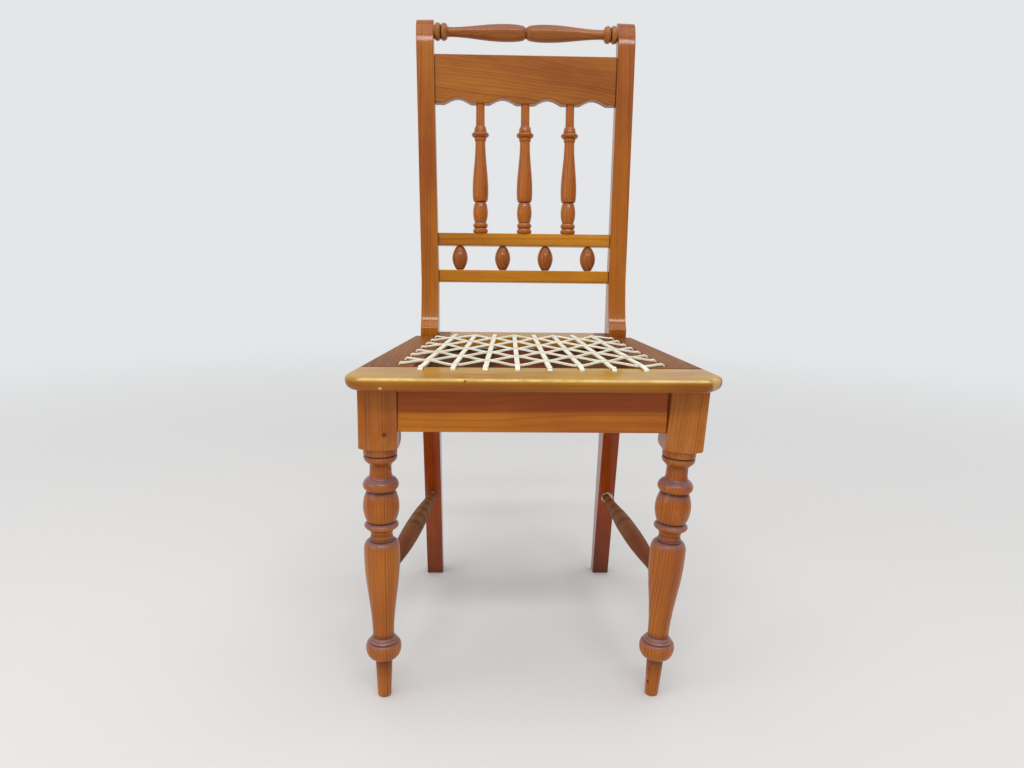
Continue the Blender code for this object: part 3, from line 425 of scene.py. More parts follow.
def post_outline():
    half = POST_THICK / 2 / cos(BACK_RAKE)
    slope = tan(BACK_RAKE)

    def front(z):
        return BACK_MIDDLE + (z - SEAT_HEIGHT) * slope - half

    def rear(z):
        return front(z) + 2 * half

    toe_top = SEAT_HEIGHT + 0.0135
    outline = [(FOOT_FRONT, 0)]
    outline += bend((leg_face(KNEE - 0.045), KNEE - 0.045), (TOE, KNEE), (TOE, APRON_BOTTOM), 8)
    outline += bend((TOE, toe_top), (front(toe_top + 0.009), toe_top + 0.009),
                    (front(SEAT_HEIGHT + 0.082), SEAT_HEIGHT + 0.082), 20)
    roll = (BACK_MIDDLE + (TOP_HEIGHT - SEAT_HEIGHT) * slope + 0.0125, TOP_HEIGHT - 0.016)
    start = TOP_HEIGHT - 0.0485
    outline += bend((front(start), start), (front(TOP_HEIGHT), TOP_HEIGHT), (roll[0], TOP_HEIGHT), 20)[:-1]
    outline += arc(roll, 0.016, 90, -72, 20)
    under = TOP_HEIGHT - 0.032
    outline += bend(*((rear(under - fall), under - fall) for fall in (0, 0.004, 0.012)), 4)
    meet = SEAT_HEIGHT + (SEAT_DEPTH - rear(SEAT_HEIGHT)) / slope
    outline += bend((rear(meet + 0.06), meet + 0.06), (SEAT_DEPTH, meet), (SEAT_DEPTH, meet - 0.06), 10)
    rear_knee = KNEE + 0.030
    drop = 0.05
    back = SEAT_DEPTH + (FOOT_REAR - SEAT_DEPTH) / rear_knee * drop
    outline += bend((SEAT_DEPTH, FRAME_TOP), (SEAT_DEPTH, rear_knee), (back, rear_knee - drop), 8)
    outline += [(FOOT_REAR, 0)]
    return [(depth + FRONT_EDGE, z) for depth, z in outline]


def lean_part(piece, wanted, angle, pivot):
    """Turns the picked vertices about a line that runs front to back."""
    pick(piece, "VERT", wanted)
    bpy.ops.transform.rotate(value=angle, orient_axis="Y", center_override=pivot)


def make_post(name, side):
    post = sawn(name, post_outline(), side * POST_X - POST_WIDTH / 2, side * POST_X + POST_WIDTH / 2, "side")
    modify(post, "BEVEL", width=0.0013, segments=3, limit_method="ANGLE", angle_limit=radians(40))
    open_mesh()
    splay = SEAT_HEIGHT + SPLAY_START
    for height in (APRON_BOTTOM, SEAT_HEIGHT, splay):
        pick_all()
        bpy.ops.mesh.bisect(plane_co=(0, 0, height), plane_no=(0, 0, 1))
    lean_part(post, lambda v: v.co.z > splay + 0.0001, -side * POST_SPLAY, (side * POST_X, 0, splay))
    lean_part(post, lambda v: v.co.z < SEAT_HEIGHT - 0.0001, -side * FOOT_SPLAY, (side * POST_X, 0, SEAT_HEIGHT))
    tidy()
    close_mesh()
    return post


# Rails and turned pieces of the back, made upright and then raked

def raked(piece, x, height, lean=0):
    """Stands a piece in the raked plane of the back, height measured up the rake from the seat."""
    turn = (Euler((-BACK_RAKE, 0, 0)).to_matrix() @ Euler((0, lean, 0)).to_matrix()).to_euler()
    place = at(x, BACK_MIDDLE + height * sin(BACK_RAKE), SEAT_HEIGHT + height * cos(BACK_RAKE))
    return settle(piece, place, turn)


def post_gap(height):
    """Half the distance between the posts at a height up the rake."""
    above = max(0, height * cos(BACK_RAKE) - SPLAY_START)
    return POST_X - POST_WIDTH / 2 + above * tan(POST_SPLAY) - 0.0003


def make_head_rail():
    """The wide rail with an arch cut between each pair of spindles."""
    tall = HEAD_RAIL_TOP - HEAD_RAIL_BOTTOM
    low_end, high_end = post_gap(HEAD_RAIL_BOTTOM), post_gap(HEAD_RAIL_TOP)
    arch_width, arch_rise = 0.0433, 0.0084
    lower = [(-low_end, 0)]
    for place in (-1.5, -0.5, 0.5, 1.5):
        for i in range(21):
            t = i / 20
            lift = ((1 - cos(2 * pi * t)) / 2) ** 0.6
            lower.append((place * HEAD_PITCH + (t - 0.5) * arch_width, arch_rise * lift))
    outline = lower + [(low_end, 0), (high_end, tall), (-high_end, tall)]
    rail = sawn("head_rail_shaped", outline, -0.009, 0.009, "front")
    modify(rail, "BEVEL", width=0.0014, segments=3, limit_method="ANGLE", angle_limit=radians(50))
    return raked(rail, 0, HEAD_RAIL_BOTTOM)


def make_spindles():
    """One spindle is turned: two rings, a bead, a vase and a collar. The outer two fan out."""
    length = HEAD_RAIL_BOTTOM - UPPER_RAIL_TOP

    def up(share):
        return share * length

    profile = (
        [(0, 0.0082)]
        + bead(up(0.002), up(0.041), 0.0098, 0.0121, 8)
        + [(up(0.042), 0.0088)]
        + bead(up(0.044), up(0.084), 0.0096, 0.0118, 8)
        + [(up(0.086), 0.0080)]
        + bead(up(0.088), up(0.238), 0.0090, 0.0119, 16, 0.0094)
        + [(up(0.241), 0.0080), (up(0.245), 0.0080)]
        + to_level(up(0.247), 0.0094, up(0.292), 0.0124, 8)
        + sweep(up(0.325), 0.0127, up(0.708), 0.0080, 18)
        + [(up(0.716), 0.0079), (up(0.719), 0.0092), (up(0.742), 0.0096), (up(0.745), 0.0088)]
        + bead(up(0.746), up(0.784), 0.0106, 0.0139, 8)
        + [(up(0.785), 0.0096), (up(0.790), 0.0100)]
        + from_level(up(0.795), 0.0098, up(0.832), 0.0072, 5)
        + [(up(0.839), 0.0070), (length, 0.0068)])
    first = lathe("back_spindle_1_turned", profile, 40)
    read_hollows(first, 0.006)
    spindles = [first, copy_of(first, "back_spindle_2_turned"), copy_of(first, "back_spindle_3_turned")]
    for number, spindle in enumerate(spindles):
        fan = atan2((number - 1) * (HEAD_PITCH - SPINDLE_PITCH), length)
        raked(spindle, (number - 1) * SPINDLE_PITCH, UPPER_RAIL_TOP, fan)
    return spindles


def make_beads():
    short = UPPER_RAIL_BOTTOM - LOWER_RAIL_TOP
    first = lathe("back_bead_1_turned", bead(0.0010, short - 0.0010, 0.0052, 0.0124, 24), 36)
    read_hollows(first, 0.006)
    beads = [first] + [copy_of(first, f"back_bead_{number}_turned") for number in (2, 3, 4)]
    for number, piece in enumerate(beads):
        raked(piece, (number - 1.5) * BEAD_PITCH, LOWER_RAIL_TOP)
    return beads


def make_crest():
    """The turned bar: a groove at its middle, long swellings, and two fat rings at each end."""
    end = post_gap(CREST_RISE) + 0.0003
    half = (
        [(0, 0.0084), (0.0012, 0.0086)]
        + to_level(0.0020, 0.0092, 0.0300, 0.0135, 12)[1:]
        + sweep(0.0330, 0.0135, end - 0.0245, 0.0074, 24)
        + [(end - 0.0222, 0.0080), (end - 0.0214, 0.0104)]
        + bead(end - 0.0210, end - 0.0118, 0.0112, 0.0136, 9)
        + [(end - 0.0112, 0.0108)]
        + bead(end - 0.0106, end - 0.0020, 0.0114, 0.0140, 9)
        + [(end - 0.0014, 0.0104), (end, 0.0102)])
    bar = lathe("crest_rail_turned", [(-place, radius) for place, radius in reversed(half[1:])] + half, 48)
    read_hollows(bar, 0.006)
    settle(bar, (0, 0, 0), (0, pi / 2, 0))
    return raked(bar, 0, CREST_RISE)


# Seat boards

def hole_row(half, depth):
    return [(half * (2 * i / (THONGS - 1) - 1), depth) for i in range(THONGS)]


def front_holes():
    return hole_row(opening_x(FRONT_BOARD) - 0.0118, FRONT_BOARD - 0.022)


def rear_holes():
    return hole_row(opening_x(OPENING_REAR) - 0.0105, OPENING_REAR + 0.014)


FIRST_STRAND = FRONT_BOARD + 0.017
STRAND_PITCH = (OPENING_REAR - 0.0104 - FIRST_STRAND) / (THONGS - 1)


def side_holes(side):
    places = [FIRST_STRAND + i * STRAND_PITCH for i in range(THONGS)]
    return [(side * (opening_x(depth) + 0.021), depth) for depth in places]


def make_board(name, outline, on_rim, holes):
    """A board sawn to its outline, rounded along the rim of the seat and drilled for the thongs."""
    board = sawn(name, [(x, depth + FRONT_EDGE) for x, depth in outline], BOARD_UNDER, SEAT_HEIGHT, "top")
    open_mesh()
    top_round, under_round = 0.0048, 0.0095
    for height, radius in ((SEAT_HEIGHT, top_round), (BOARD_UNDER, under_round)):
        def rim_edge(edge):
            return all(abs(v.co.z - height) < 0.0005 and on_rim(v.co) for v in edge.verts)
        pick(board, "EDGE", rim_edge)
        bpy.ops.mesh.bevel(offset=radius, segments=7, affect="EDGES", clamp_overlap=False)
    close_mesh()
    runs = [(at(x, depth, BOARD_UNDER - 0.01), at(x, depth, SEAT_HEIGHT + 0.01)) for x, depth in holes]
    cut(board, pegs(name + "_drill", runs, DRILL, 20))
    modify(board, "BEVEL", width=0.0005, segments=2, limit_method="ANGLE", angle_limit=radians(60))
    return board


def mirrored(outline):
    return [(-x, depth) for x, depth in reversed(outline)]


def make_seat():
    """The front board's right corner is rubbed back; the boards meet with a fine gap."""
    gap, rubbed_x, rubbed_y, turns = 0.0003, 0.0026, 0.0030, 16
    centre = (SEAT_WIDTH / 2 - CORNER_RADIUS, CORNER_RADIUS)
    corner = arc(centre, CORNER_RADIUS, -90, SIDE_ANGLE * 180 / pi, turns)
    loss = [sin(pi * i / turns) ** 2 for i in range(turns + 1)]
    worn = [(x - rubbed_x * lost, depth + rubbed_y * lost) for (x, depth), lost in zip(corner, loss)]
    edge = [(side_x(FRONT_BOARD), FRONT_BOARD)]
    front = make_board("seat_front_board_shaped", worn + edge + mirrored(corner + edge),
                       lambda p: p.y < FRONT_EDGE + FRONT_BOARD - 0.0001 or abs(p.x) > 0.19, front_holes())
    seam = opening_x(OPENING_REAR)
    right_end = [(seam - gap, OPENING_REAR), (seam - gap, SEAT_DEPTH)]
    rear = make_board("seat_rear_board_shaped", right_end + mirrored(right_end),
                      lambda p: p.y > FRONT_EDGE + SEAT_DEPTH - 0.0001, rear_holes())
    start = FRONT_BOARD + gap
    toe = TOE - gap
    inner = POST_X - POST_WIDTH / 2 - 2 * gap
    plan = [(opening_x(start), start), (side_x(start), start), (side_x(toe), toe), (inner, toe),
            (inner, SEAT_DEPTH), (seam, SEAT_DEPTH), (seam, OPENING_REAR)]

    def on_side_rim(p):
        depth = p.y - FRONT_EDGE
        return abs(abs(p.x) - side_x(depth)) < 0.0005 or depth > SEAT_DEPTH - 0.0001

    right = make_board("seat_right_board_shaped", plan, on_side_rim, side_holes(RIGHT))
    left = make_board("seat_left_board_shaped", mirrored(plan), on_side_rim, side_holes(LEFT))
    return front, rear, right, left


# Side stretchers

def stretcher_profile(length, tenon):
    fat = 0.0134
    shares = [(0.10, 0.0081), (0.15, 0.0088), (0.20, 0.0099), (0.265, 0.0113), (0.33, 0.0124), (0.39, 0.0130),
              (0.445, fat)]
    places = [(0.002, BAR_TIP), (0.012, 0.0064), (0.020, 0.0072)]
    places += [(length * share, radius) for share, radius in shares]
    back = [(length - place, radius) for place, radius in reversed(places)]
    return [(-tenon, BAR_TIP)] + places + [(length / 2, fat)] + back + [(length + 0.008, BAR_TIP)]


def bar_line(side, rear_height):
    """Where a stretcher leaves the rear leg, the way it runs and its length between the legs."""
    drawn = (SEAT_HEIGHT - rear_height) * tan(FOOT_SPLAY)
    rear = at(side * (POST_X - drawn), leg_face(rear_height), rear_height)
    if side == RIGHT:
        turn = Euler((0, LEG_LEAN, 0)).to_matrix()
        foot = at(LEG_INNER, LEG_DEPTH, FRAME_TOP) - turn @ Vector((-BLOCK_SIDE / 2, 0, FRAME_TOP))
        front = foot + turn @ Vector((0, 0, BAR_FRONT))
    else:
        front = at(-LEG_X, LEG_DEPTH, BAR_FRONT)
    return rear, (front - rear).normalized(), (front - rear).length - LEG_AT_BAR


def make_stretcher(name, side, rear_height):
    """A tapered round bar from the rear leg to the turned leg in front of it."""
    rear, along, length = bar_line(side, rear_height)
    if side == RIGHT:
        rear += SLIPPED
    bar = lathe(name, stretcher_profile(length, SHORT_TENON if side == RIGHT else TENON), 36)
    return settle(bar, rear, along.to_track_quat("Z", "Y").to_euler()), rear, along, length


def tear_out(post):
    """The loose end of the right stretcher has torn a ring out of the leg and worn its hole wide."""
    rear, along = bar_line(RIGHT, RIGHT_BAR_HEIGHT)[:2]
    cuts = (("torn_ring", 0.0010, 0.0086, 28), ("worn_hole", 0.0090, 0.0064, 24))
    for name, depth, radius, around in cuts:
        cut(post, pegs(name, [(rear + along * 0.01, rear - along * depth)], radius, around))


# Laced thongs

THONG_WIDTH = 0.0062
THONG_THICK = 0.0023
THONG_LOW = SEAT_HEIGHT + 0.0006 + THONG_THICK / 2
THONG_HIGH = THONG_LOW + 0.0015
RUN_TOP = BOARD_UNDER - 0.0003


def strand_depth(strand, strap):
    """Strands draw together in pairs at each strap, and swap partners at the next one."""
    own = FIRST_STRAND + strand * STRAND_PITCH
    kiss = (THONG_WIDTH + 0.0006) / 2
    up = (strand + strap) % 2 == 0
    if strand == THONGS - 1 and up:
        return own + STRAND_PITCH * 0.2
    if strand == 0 and not up:
        return own - STRAND_PITCH * 0.4
    return own + STRAND_PITCH / 2 - kiss if up else own - STRAND_PITCH / 2 + kiss


def strap_x(strap, depth):
    (front_x, front), (rear_x, rear) = front_holes()[strap], rear_holes()[strap]
    return front_x + (rear_x - front_x) * (depth - front) / (rear - front)


def eased(points, steps=5):
    """A smooth line through points."""
    line = []
    for i in range(len(points) - 1):
        before, start, end, after = (points[max(0, min(len(points) - 1, i + k))] for k in (-1, 0, 1, 2))
        for k in range(steps):
            t = k / steps
            square = 2 * before - 5 * start + 4 * end - after
            cube = 3 * start - before - 3 * end + after
            line.append(0.5 * (2 * start + (end - before) * t + square * t * t + cube * t ** 3))
    return line + [points[-1]]


def dip(hole, inward):
    """A thong comes up through its hole and turns over the rim."""
    steps = ((0.0002, RUN_TOP - 0.001), (0.0003, BOARD_UNDER + 0.008), (0.0006, SEAT_HEIGHT - 0.0006),
             (0.0030, THONG_LOW + 0.0003), (0.0080, THONG_LOW))
    return [at(hole[0] + inward[0] * reach, hole[1] + inward[1] * reach, z) for reach, z in steps]


def thong(name, points, across):
    """A flat thong along a line: a ribbon, its thickness and its softened edges."""
    ribbon = new_point(name, points[0])
    draw(points)
    pick_all()
    side = Vector(across) * THONG_WIDTH
    bpy.ops.transform.translate(value=-side / 2)
    pull(side)
    tidy(0.00001)
    close_mesh()
    modify(ribbon, "SOLIDIFY", thickness=THONG_THICK, offset=0, use_even_offset=True)
    modify(ribbon, "BEVEL", width=0.0010, segments=3, limit_method="ANGLE", angle_limit=radians(60))
    return ribbon


def shade_crossings(lacing):
    """Marks how near each point of the lacing is to a crossing, where painted shade goes."""
    spots = [at(strap_x(strap, strand_depth(strand, strap)), strand_depth(strand, strap), SEAT_HEIGHT)
             for strap in range(THONGS) for strand in range(THONGS)]
    values = []
    for vert in lacing.data.vertices:
        away = min((vert.co.x - spot.x) ** 2 + (vert.co.y - spot.y) ** 2 for spot in spots) ** 0.5
        values.append(max(0.0, 1.0 - away / 0.0085))
    lacing.data.attributes.new("crossing", "FLOAT", "POINT").data.foreach_set("value", values)


def make_lacing():
    front, rear = front_holes(), rear_holes()
    left, right = side_holes(LEFT), side_holes(RIGHT)
    made = []

    def over(strap, strand):
        return (strap + strand) % 2 == 1

    def crossing(strap, strand, high):
        depth = strand_depth(strand, strap)
        return at(strap_x(strap, depth), depth, THONG_HIGH if high else THONG_LOW)

    for strap in range(THONGS):
        ahead = (Vector(rear[strap]) - Vector(front[strap])).normalized()
        points = dip(front[strap], ahead)
        points += [crossing(strap, strand, over(strap, strand)) for strand in range(THONGS)]
        points += reversed(dip(rear[strap], -ahead))
        made.append(thong(f"strap_{strap}", eased(points), (ahead.y, -ahead.x, 0)))
    for strand in range(THONGS):
        points = dip(left[strand], (1, 0))
        points += [crossing(strap, strand, not over(strap, strand)) for strap in range(THONGS)]
        points += reversed(dip(right[strand], (-1, 0)))
        made.append(thong(f"strand_{strand}", eased(points), (0, 1, 0)))
    runs = []
    for first, rows in ((0, (front, left)), (1, (rear, right))):
        for row in rows:
            runs += [(row[k], row[k + 1]) for k in range(first, THONGS - first, 2)]
    for number, (start, end) in enumerate(runs):
        along = (Vector(end) - Vector(start)).normalized()
        a, b = Vector(start) - along * 0.0031, Vector(end) + along * 0.0031
        line = []
        for t in (0, 0.25, 0.5, 0.75, 1):
            x, depth = a + (b - a) * t
            line.append(at(x, depth, RUN_TOP - 0.001 - 0.0006 * sin(pi * t)))
        made.append(thong(f"run_{number}", line, (along.y, -along.x, 0)))
    ends = [rear[0], rear[-1]] + [(right[k][0] - 0.002, right[k][1]) for k in (0, -1)]
    for number, place in enumerate(ends):
        knot = lathe(f"knot_{number}", bead(-0.0052, 0, 0.0036, 0.0056, 6), 16)
        made.append(settle(knot, at(place[0], place[1], RUN_TOP)))
    lacing = join(made, "seat_lacing_thongs")
    shade_crossings(lacing)
    return lacing


# Surfaces

def lay(tree, kind, sockets=None, **settings):
    """Adds a shader node; sockets holds values or links by socket name or number."""
    made = tree.nodes.new("ShaderNode" + kind)
    for key, value in settings.items():
        setattr(made, key, value)
    fill(tree, made.inputs, sockets or {})
    return made


def fill(tree, inputs, sockets):
    for key, value in sockets.items():
        if isinstance(value, bpy.types.NodeSocket):
            tree.links.new(value, inputs[key])
        else:
            inputs[key].default_value = value


def calc(tree, operation, a, b=0.0, clamp=False):
    return lay(tree, "Math", {0: a, 1: b}, operation=operation, use_clamp=clamp).outputs[0]


def times(tree, a, b, clamp=False):
    return calc(tree, "MULTIPLY", a, b, clamp)


def plus(tree, a, b):
    return calc(tree, "ADD", a, b)


def swing(tree, value, reach):
    """Turns a noise from 0 to 1 into a swing to both sides of nothing."""
    return times(tree, calc(tree, "SUBTRACT", value, 0.5), reach)


def vector_calc(tree, operation, a, b=(0, 0, 0), output=0):
    return lay(tree, "VectorMath", {0: a, 1: b}, operation=operation).outputs[output]


def part(tree, vector, axis):
    return lay(tree, "SeparateXYZ", {0: vector}).outputs[axis]


def between(tree, value, low, high, most=1.0, curve="LINEAR"):
    """A share that goes from 0 at low to most at high."""
    sockets = {"Value": value, "From Min": low, "From Max": high, "To Max": most}
    return lay(tree, "MapRange", sockets, interpolation_type=curve).outputs[0]


def noise(tree, place, scale, stretch=(1, 1, 1), detail=2.0, rough=0.5):
    place = vector_calc(tree, "MULTIPLY", place, stretch)
    sockets = {"Vector": place, "Scale": scale, "Detail": detail, "Roughness": rough}
    return lay(tree, "TexNoise", sockets).outputs[0]


def blend(tree, share, a, b, mode="MIX"):
    return lay(tree, "Mix", {0: share, 6: a, 7: b}, data_type="RGBA", blend_type=mode).outputs[2]


def tint(tree, colour, factors):
    return blend(tree, 1.0, colour, factors, "MULTIPLY")


def relief(tree, height, distance):
    return lay(tree, "Bump", {"Height": height, "Distance": distance, "Strength": 0.6}).outputs[0]


def ramp(tree, share, stops):
    """A mask that follows (place, value) stops."""
    made = lay(tree, "ValToRGB", {0: share})
    line = made.color_ramp
    while len(line.elements) < len(stops):
        line.elements.new(0.5)
    for element, (place, value) in zip(line.elements, stops):
        element.position = place
        element.color = (value, value, value, 1)
    return made.outputs[0]


def group(name, inputs, outputs):
    """A node group; inputs and outputs give each socket's kind by its name."""
    tree = bpy.data.node_groups.new(name, "ShaderNodeTree")
    for way, sockets in (("INPUT", inputs), ("OUTPUT", outputs)):
        for label, kind in sockets.items():
            tree.interface.new_socket(label, in_out=way, socket_type="NodeSocket" + kind)
    return tree, tree.nodes.new("NodeGroupInput").outputs, tree.nodes.new("NodeGroupOutput").inputs


def use(tree, made, **sockets):
    node = tree.nodes.new("ShaderNodeGroup")
    node.node_tree = made
    fill(tree, node.inputs, sockets)
    return node.outputs


def make_pine_group():
    """Growth rings round a heart line along Z, with fibres and blotches: colour and relief."""
    tree, given, out = group(
        "pine_grain", {"Place": "Vector", "Ring": "Float", "Waves": "Float", "Lines": "Float",
                       "Pale": "Color", "Dark": "Color"},
        {"Colour": "Color", "Relief": "Float"})
    place = given["Place"]
    radius = vector_calc(tree, "LENGTH", vector_calc(tree, "MULTIPLY", place, (1, 1, 0)), output="Value")
    radius = plus(tree, radius, swing(tree, noise(tree, place, 7.0, (1, 1, 0.30)), given["Waves"]))
    radius = plus(tree, radius, swing(tree, noise(tree, place, 60.0, (1, 1, 0.06), 1.0), 0.0016))
    uneven = {"W": times(tree, radius, 95.0), "Scale": 1.0, "Detail": 1.0}
    drift = lay(tree, "TexNoise", uneven, noise_dimensions="1D").outputs[0]
    radius = plus(tree, radius, swing(tree, drift, 0.0075))
    turns = calc(tree, "DIVIDE", radius, given["Ring"])
    line = ramp(tree, calc(tree, "FRACT", turns),
                [(0.0, 0.25), (0.25, 0.0), (0.55, 0.25), (0.80, 1.0), (0.90, 0.8), (1.0, 0.25)])
    whole = {"W": calc(tree, "FLOOR", turns)}
    each = lay(tree, "TexWhiteNoise", whole, noise_dimensions="1D").outputs["Value"]
    line = times(tree, line, plus(tree, times(tree, each, 0.75), 0.30))
    fibre = noise(tree, place, 900.0, (1, 1, 0.018))
    blotch = noise(tree, place, 11.0, (1, 1, 0.35), 3.0, 0.6)
    streak = noise(tree, place, 85.0, (1, 1, 0.03))
    colour = blend(tree, times(tree, line, given["Lines"]), given["Pale"], given["Dark"])
    shade = plus(tree, plus(tree, times(tree, fibre, 0.30), 0.67), times(tree, streak, 0.36))
    colour = tint(tree, colour, lay(tree, "CombineColor", {0: shade, 1: shade, 2: shade}).outputs[0])
    cool, warm = (0.76, 0.60, 0.48, 1), (1.14, 1.26, 1.30, 1)
    colour = tint(tree, colour, blend(tree, ramp(tree, blotch, [(0.32, 0.0), (0.68, 1.0)]), cool, warm))
    fill(tree, out, {"Colour": colour, "Relief": plus(tree, times(tree, line, 0.5), times(tree, fibre, 0.5))})
    return tree


def make_stain_shade_and_wear_group():
    """Stain gathered in the hollows of turnings, darkened further as painted shade in the coves, and varnish rubbed
    thin on what stands proud.
    """
    tree, given, out = group(
        "stain_shade_and_wear", {"Colour": "Color", "Deep": "Color", "Rubbed": "Color", "Hollow": "Float",
                           "Wear": "Float", "Place": "Vector"}, {"Colour": "Color"})
    marks = lay(tree, "Attribute", attribute_name="hollow").outputs["Fac"]
    patch = ramp(tree, noise(tree, given["Place"], 55.0, (1, 1, 0.5), 3.0, 0.6), [(0.40, 0.0), (0.62, 1.0)])
    # Darker in the hollows: stain, with painted shade in the coves.
    deep = times(tree, marks, given["Hollow"], clamp=True)
    proud = times(tree, times(tree, marks, -1.0), given["Wear"], clamp=True)
    colour = blend(tree, deep, given["Colour"], given["Deep"])
    fill(tree, out, {"Colour": blend(tree, times(tree, proud, patch), colour, given["Rubbed"])})
    return tree


def make_spot_group():
    """A mark with a ragged outline round a point."""
    tree, given, out = group(
        "spot", {"Place": "Vector", "Centre": "Vector", "Radius": "Float", "Ragged": "Float"}, {"Mask": "Float"})
    away = vector_calc(tree, "DISTANCE", given["Place"], given["Centre"], "Value")
    ragged = swing(tree, noise(tree, given["Place"], 420.0), given["Ragged"])
    away = plus(tree, calc(tree, "DIVIDE", away, given["Radius"]), ragged)
    fill(tree, out, {"Mask": between(tree, away, 1.15, 0.75)})
    return tree


PINE = make_pine_group()
STAIN_SHADE_AND_WEAR = make_stain_shade_and_wear_group()
SPOT = make_spot_group()


def srgb(red, green, blue):
    """A colour as read off the photograph, made linear."""
    shares = [level / 255 for level in (red, green, blue)]
    return tuple(share / 12.92 if share <= 0.04 else ((share + 0.055) / 1.055) ** 2.4
                 for share in shares) + (1,)


def shader(name, roughness, coat, coat_roughness):
    material = bpy.data.materials.new(name)
    material.use_nodes = True
    tree = material.node_tree
    surface = tree.nodes["Principled BSDF"]
    fill(tree, surface.inputs, {"Coat Weight": coat, "Coat Roughness": coat_roughness, "Roughness": roughness,
                                "Specular IOR Level": 0.10})
    return material, tree, surface.inputs, lay(tree, "TexCoord").outputs["Object"]


# Deep tone of the hollows: stain, with painted shade.
DEEP_STAIN_AND_SHADE = srgb(80, 32, 14)
RUBBED_WOOD = srgb(186, 130, 72)
# Greyish-mauve tone of the painted sheen on upward faces.
SHEEN_TONE = srgb(128, 96, 98)


def pine(name, pale, dark, heart, grain, ring, waves, lines, roughness=0.40, coat=0.50, coat_roughness=0.13,
         spots=(), touch=None, film=0.0):
    """Varnished pine.

    heart is a point on the tree's heart line and grain turns Z along it; ring is the distance from
    one ring to the next, waves how far they wander and lines how dark they are. touch changes the
    colour by place, spots are (centre, radius, colour, strength), and the last argument is a painted
    sheen: a greyish-mauve tone laid on the upward faces.
    """
    material, tree, surface, place = shader(name, roughness, coat, coat_roughness)
    turned = {"Vector": place, "Location": tuple(heart), "Rotation": tuple(grain)}
    along = lay(tree, "Mapping", turned, vector_type="TEXTURE").outputs[0]
    wood = use(tree, PINE, Place=along, Ring=ring, Waves=waves, Lines=lines,
               Pale=srgb(*pale), Dark=srgb(*dark))
    colour = use(tree, STAIN_SHADE_AND_WEAR, Colour=wood["Colour"], Deep=DEEP_STAIN_AND_SHADE, Rubbed=RUBBED_WOOD,
                 Hollow=1.8, Wear=0.35, Place=along)["Colour"]
    if touch:
        colour = touch(tree, place, along, colour)
    for centre, radius, tone, strength in spots:
        mark = use(tree, SPOT, Place=place, Centre=tuple(centre), Radius=radius, Ragged=0.7)["Mask"]
        colour = blend(tree, times(tree, mark, strength), colour, srgb(*tone))
    # Painted sheen: upward faces are blended towards a greyish-mauve tone.
    if film:
        upward = part(tree, lay(tree, "NewGeometry").outputs["Normal"], 2)
        colour = blend(tree, between(tree, upward, 0.15, 0.75, film), colour, SHEEN_TONE)
    rough = plus(tree, times(tree, wood["Relief"], -0.10), roughness + 0.04)
    bumps = relief(tree, wood["Relief"], 0.0002)
    fill(tree, surface, {"Base Color": colour, "Roughness": rough, "Normal": bumps})
    return material


def hide_finish():
    """Ivory hide of the thongs: fine creases along and across, and painted shade where they cross."""
    material, tree, surface, place = shader("ivory_hide_thongs", 0.42, 0.15, 0.3)
    crease = noise(tree, place, 700.0, (1, 1, 1), 3.0, 0.6)
    soil = noise(tree, place, 28.0, (1, 1, 1), 3.0, 0.6)
    patch = ramp(tree, noise(tree, place, 190.0), [(0.40, 0.15), (0.60, 1.0)])
    near = times(tree, lay(tree, "Attribute", attribute_name="crossing").outputs["Fac"], patch)
    colour = blend(tree, ramp(tree, soil, [(0.48, 0.0), (0.78, 1.0)]),
                   srgb(242, 238, 218), srgb(224, 217, 190))
    # Painted shade: bluish grey near the crossings.
    colour = blend(tree, times(tree, near, 0.9, clamp=True), colour, srgb(168, 172, 176))
    colour = blend(tree, ramp(tree, crease, [(0.55, 0.0), (0.80, 0.45)]), colour, srgb(196, 190, 168))
    rough = plus(tree, times(tree, crease, 0.25), 0.32)
    fill(tree, surface, {"Base Color": colour, "Roughness": rough, "Normal": relief(tree, crease, 0.0003)})
    return material


def shade_and_dirt_below(tree, place, along, colour):
    """Below the seat the posts are painted redder and darker, a painted shade under the seat, and their feet are
    dirty.
    """
    height = part(tree, place, 2)
    # Painted shade: a redder, darker tone below the seat.
    red = tint(tree, colour, (0.78, 0.41, 0.36, 1))
    colour = blend(tree, between(tree, height, SEAT_HEIGHT + 0.01, SEAT_HEIGHT - 0.03), colour, red)
    dirt = times(tree, between(tree, height, 0.13, 0.01, 0.8),
                 noise(tree, place, 60.0, (1, 1, 0.4), 3.0, 0.6))
    return blend(tree, dirt, colour, srgb(58, 40, 26))


def nose_shade_and_edge_highlight(tree, place, along, colour):
    """Painted shade makes the front board redder and darker down its downward-facing nose, and a pale painted
    highlight, partly real wear, runs along its top edge.
    """
    height, depth = part(tree, place, 2), part(tree, place, 1)
    # Painted shade down the nose.
    red = tint(tree, colour, (0.72, 0.44, 0.30, 1))
    colour = blend(tree, between(tree, height, SEAT_HEIGHT - 0.0020, SEAT_HEIGHT - 0.0060), colour, red)
    # Pale line along the top arris: painted highlight, partly real wear.
    rim = times(tree, between(tree, depth, FRONT_EDGE + 0.0046, FRONT_EDGE + 0.0030),
                between(tree, height, SEAT_HEIGHT - 0.0032, SEAT_HEIGHT - 0.0014))
    patchy = ramp(tree, noise(tree, place, 45.0, (1, 1, 1), 3.0, 0.6), [(0.35, 0.35), (0.60, 0.9)])
    return blend(tree, times(tree, rim, patchy), colour, srgb(232, 200, 136))


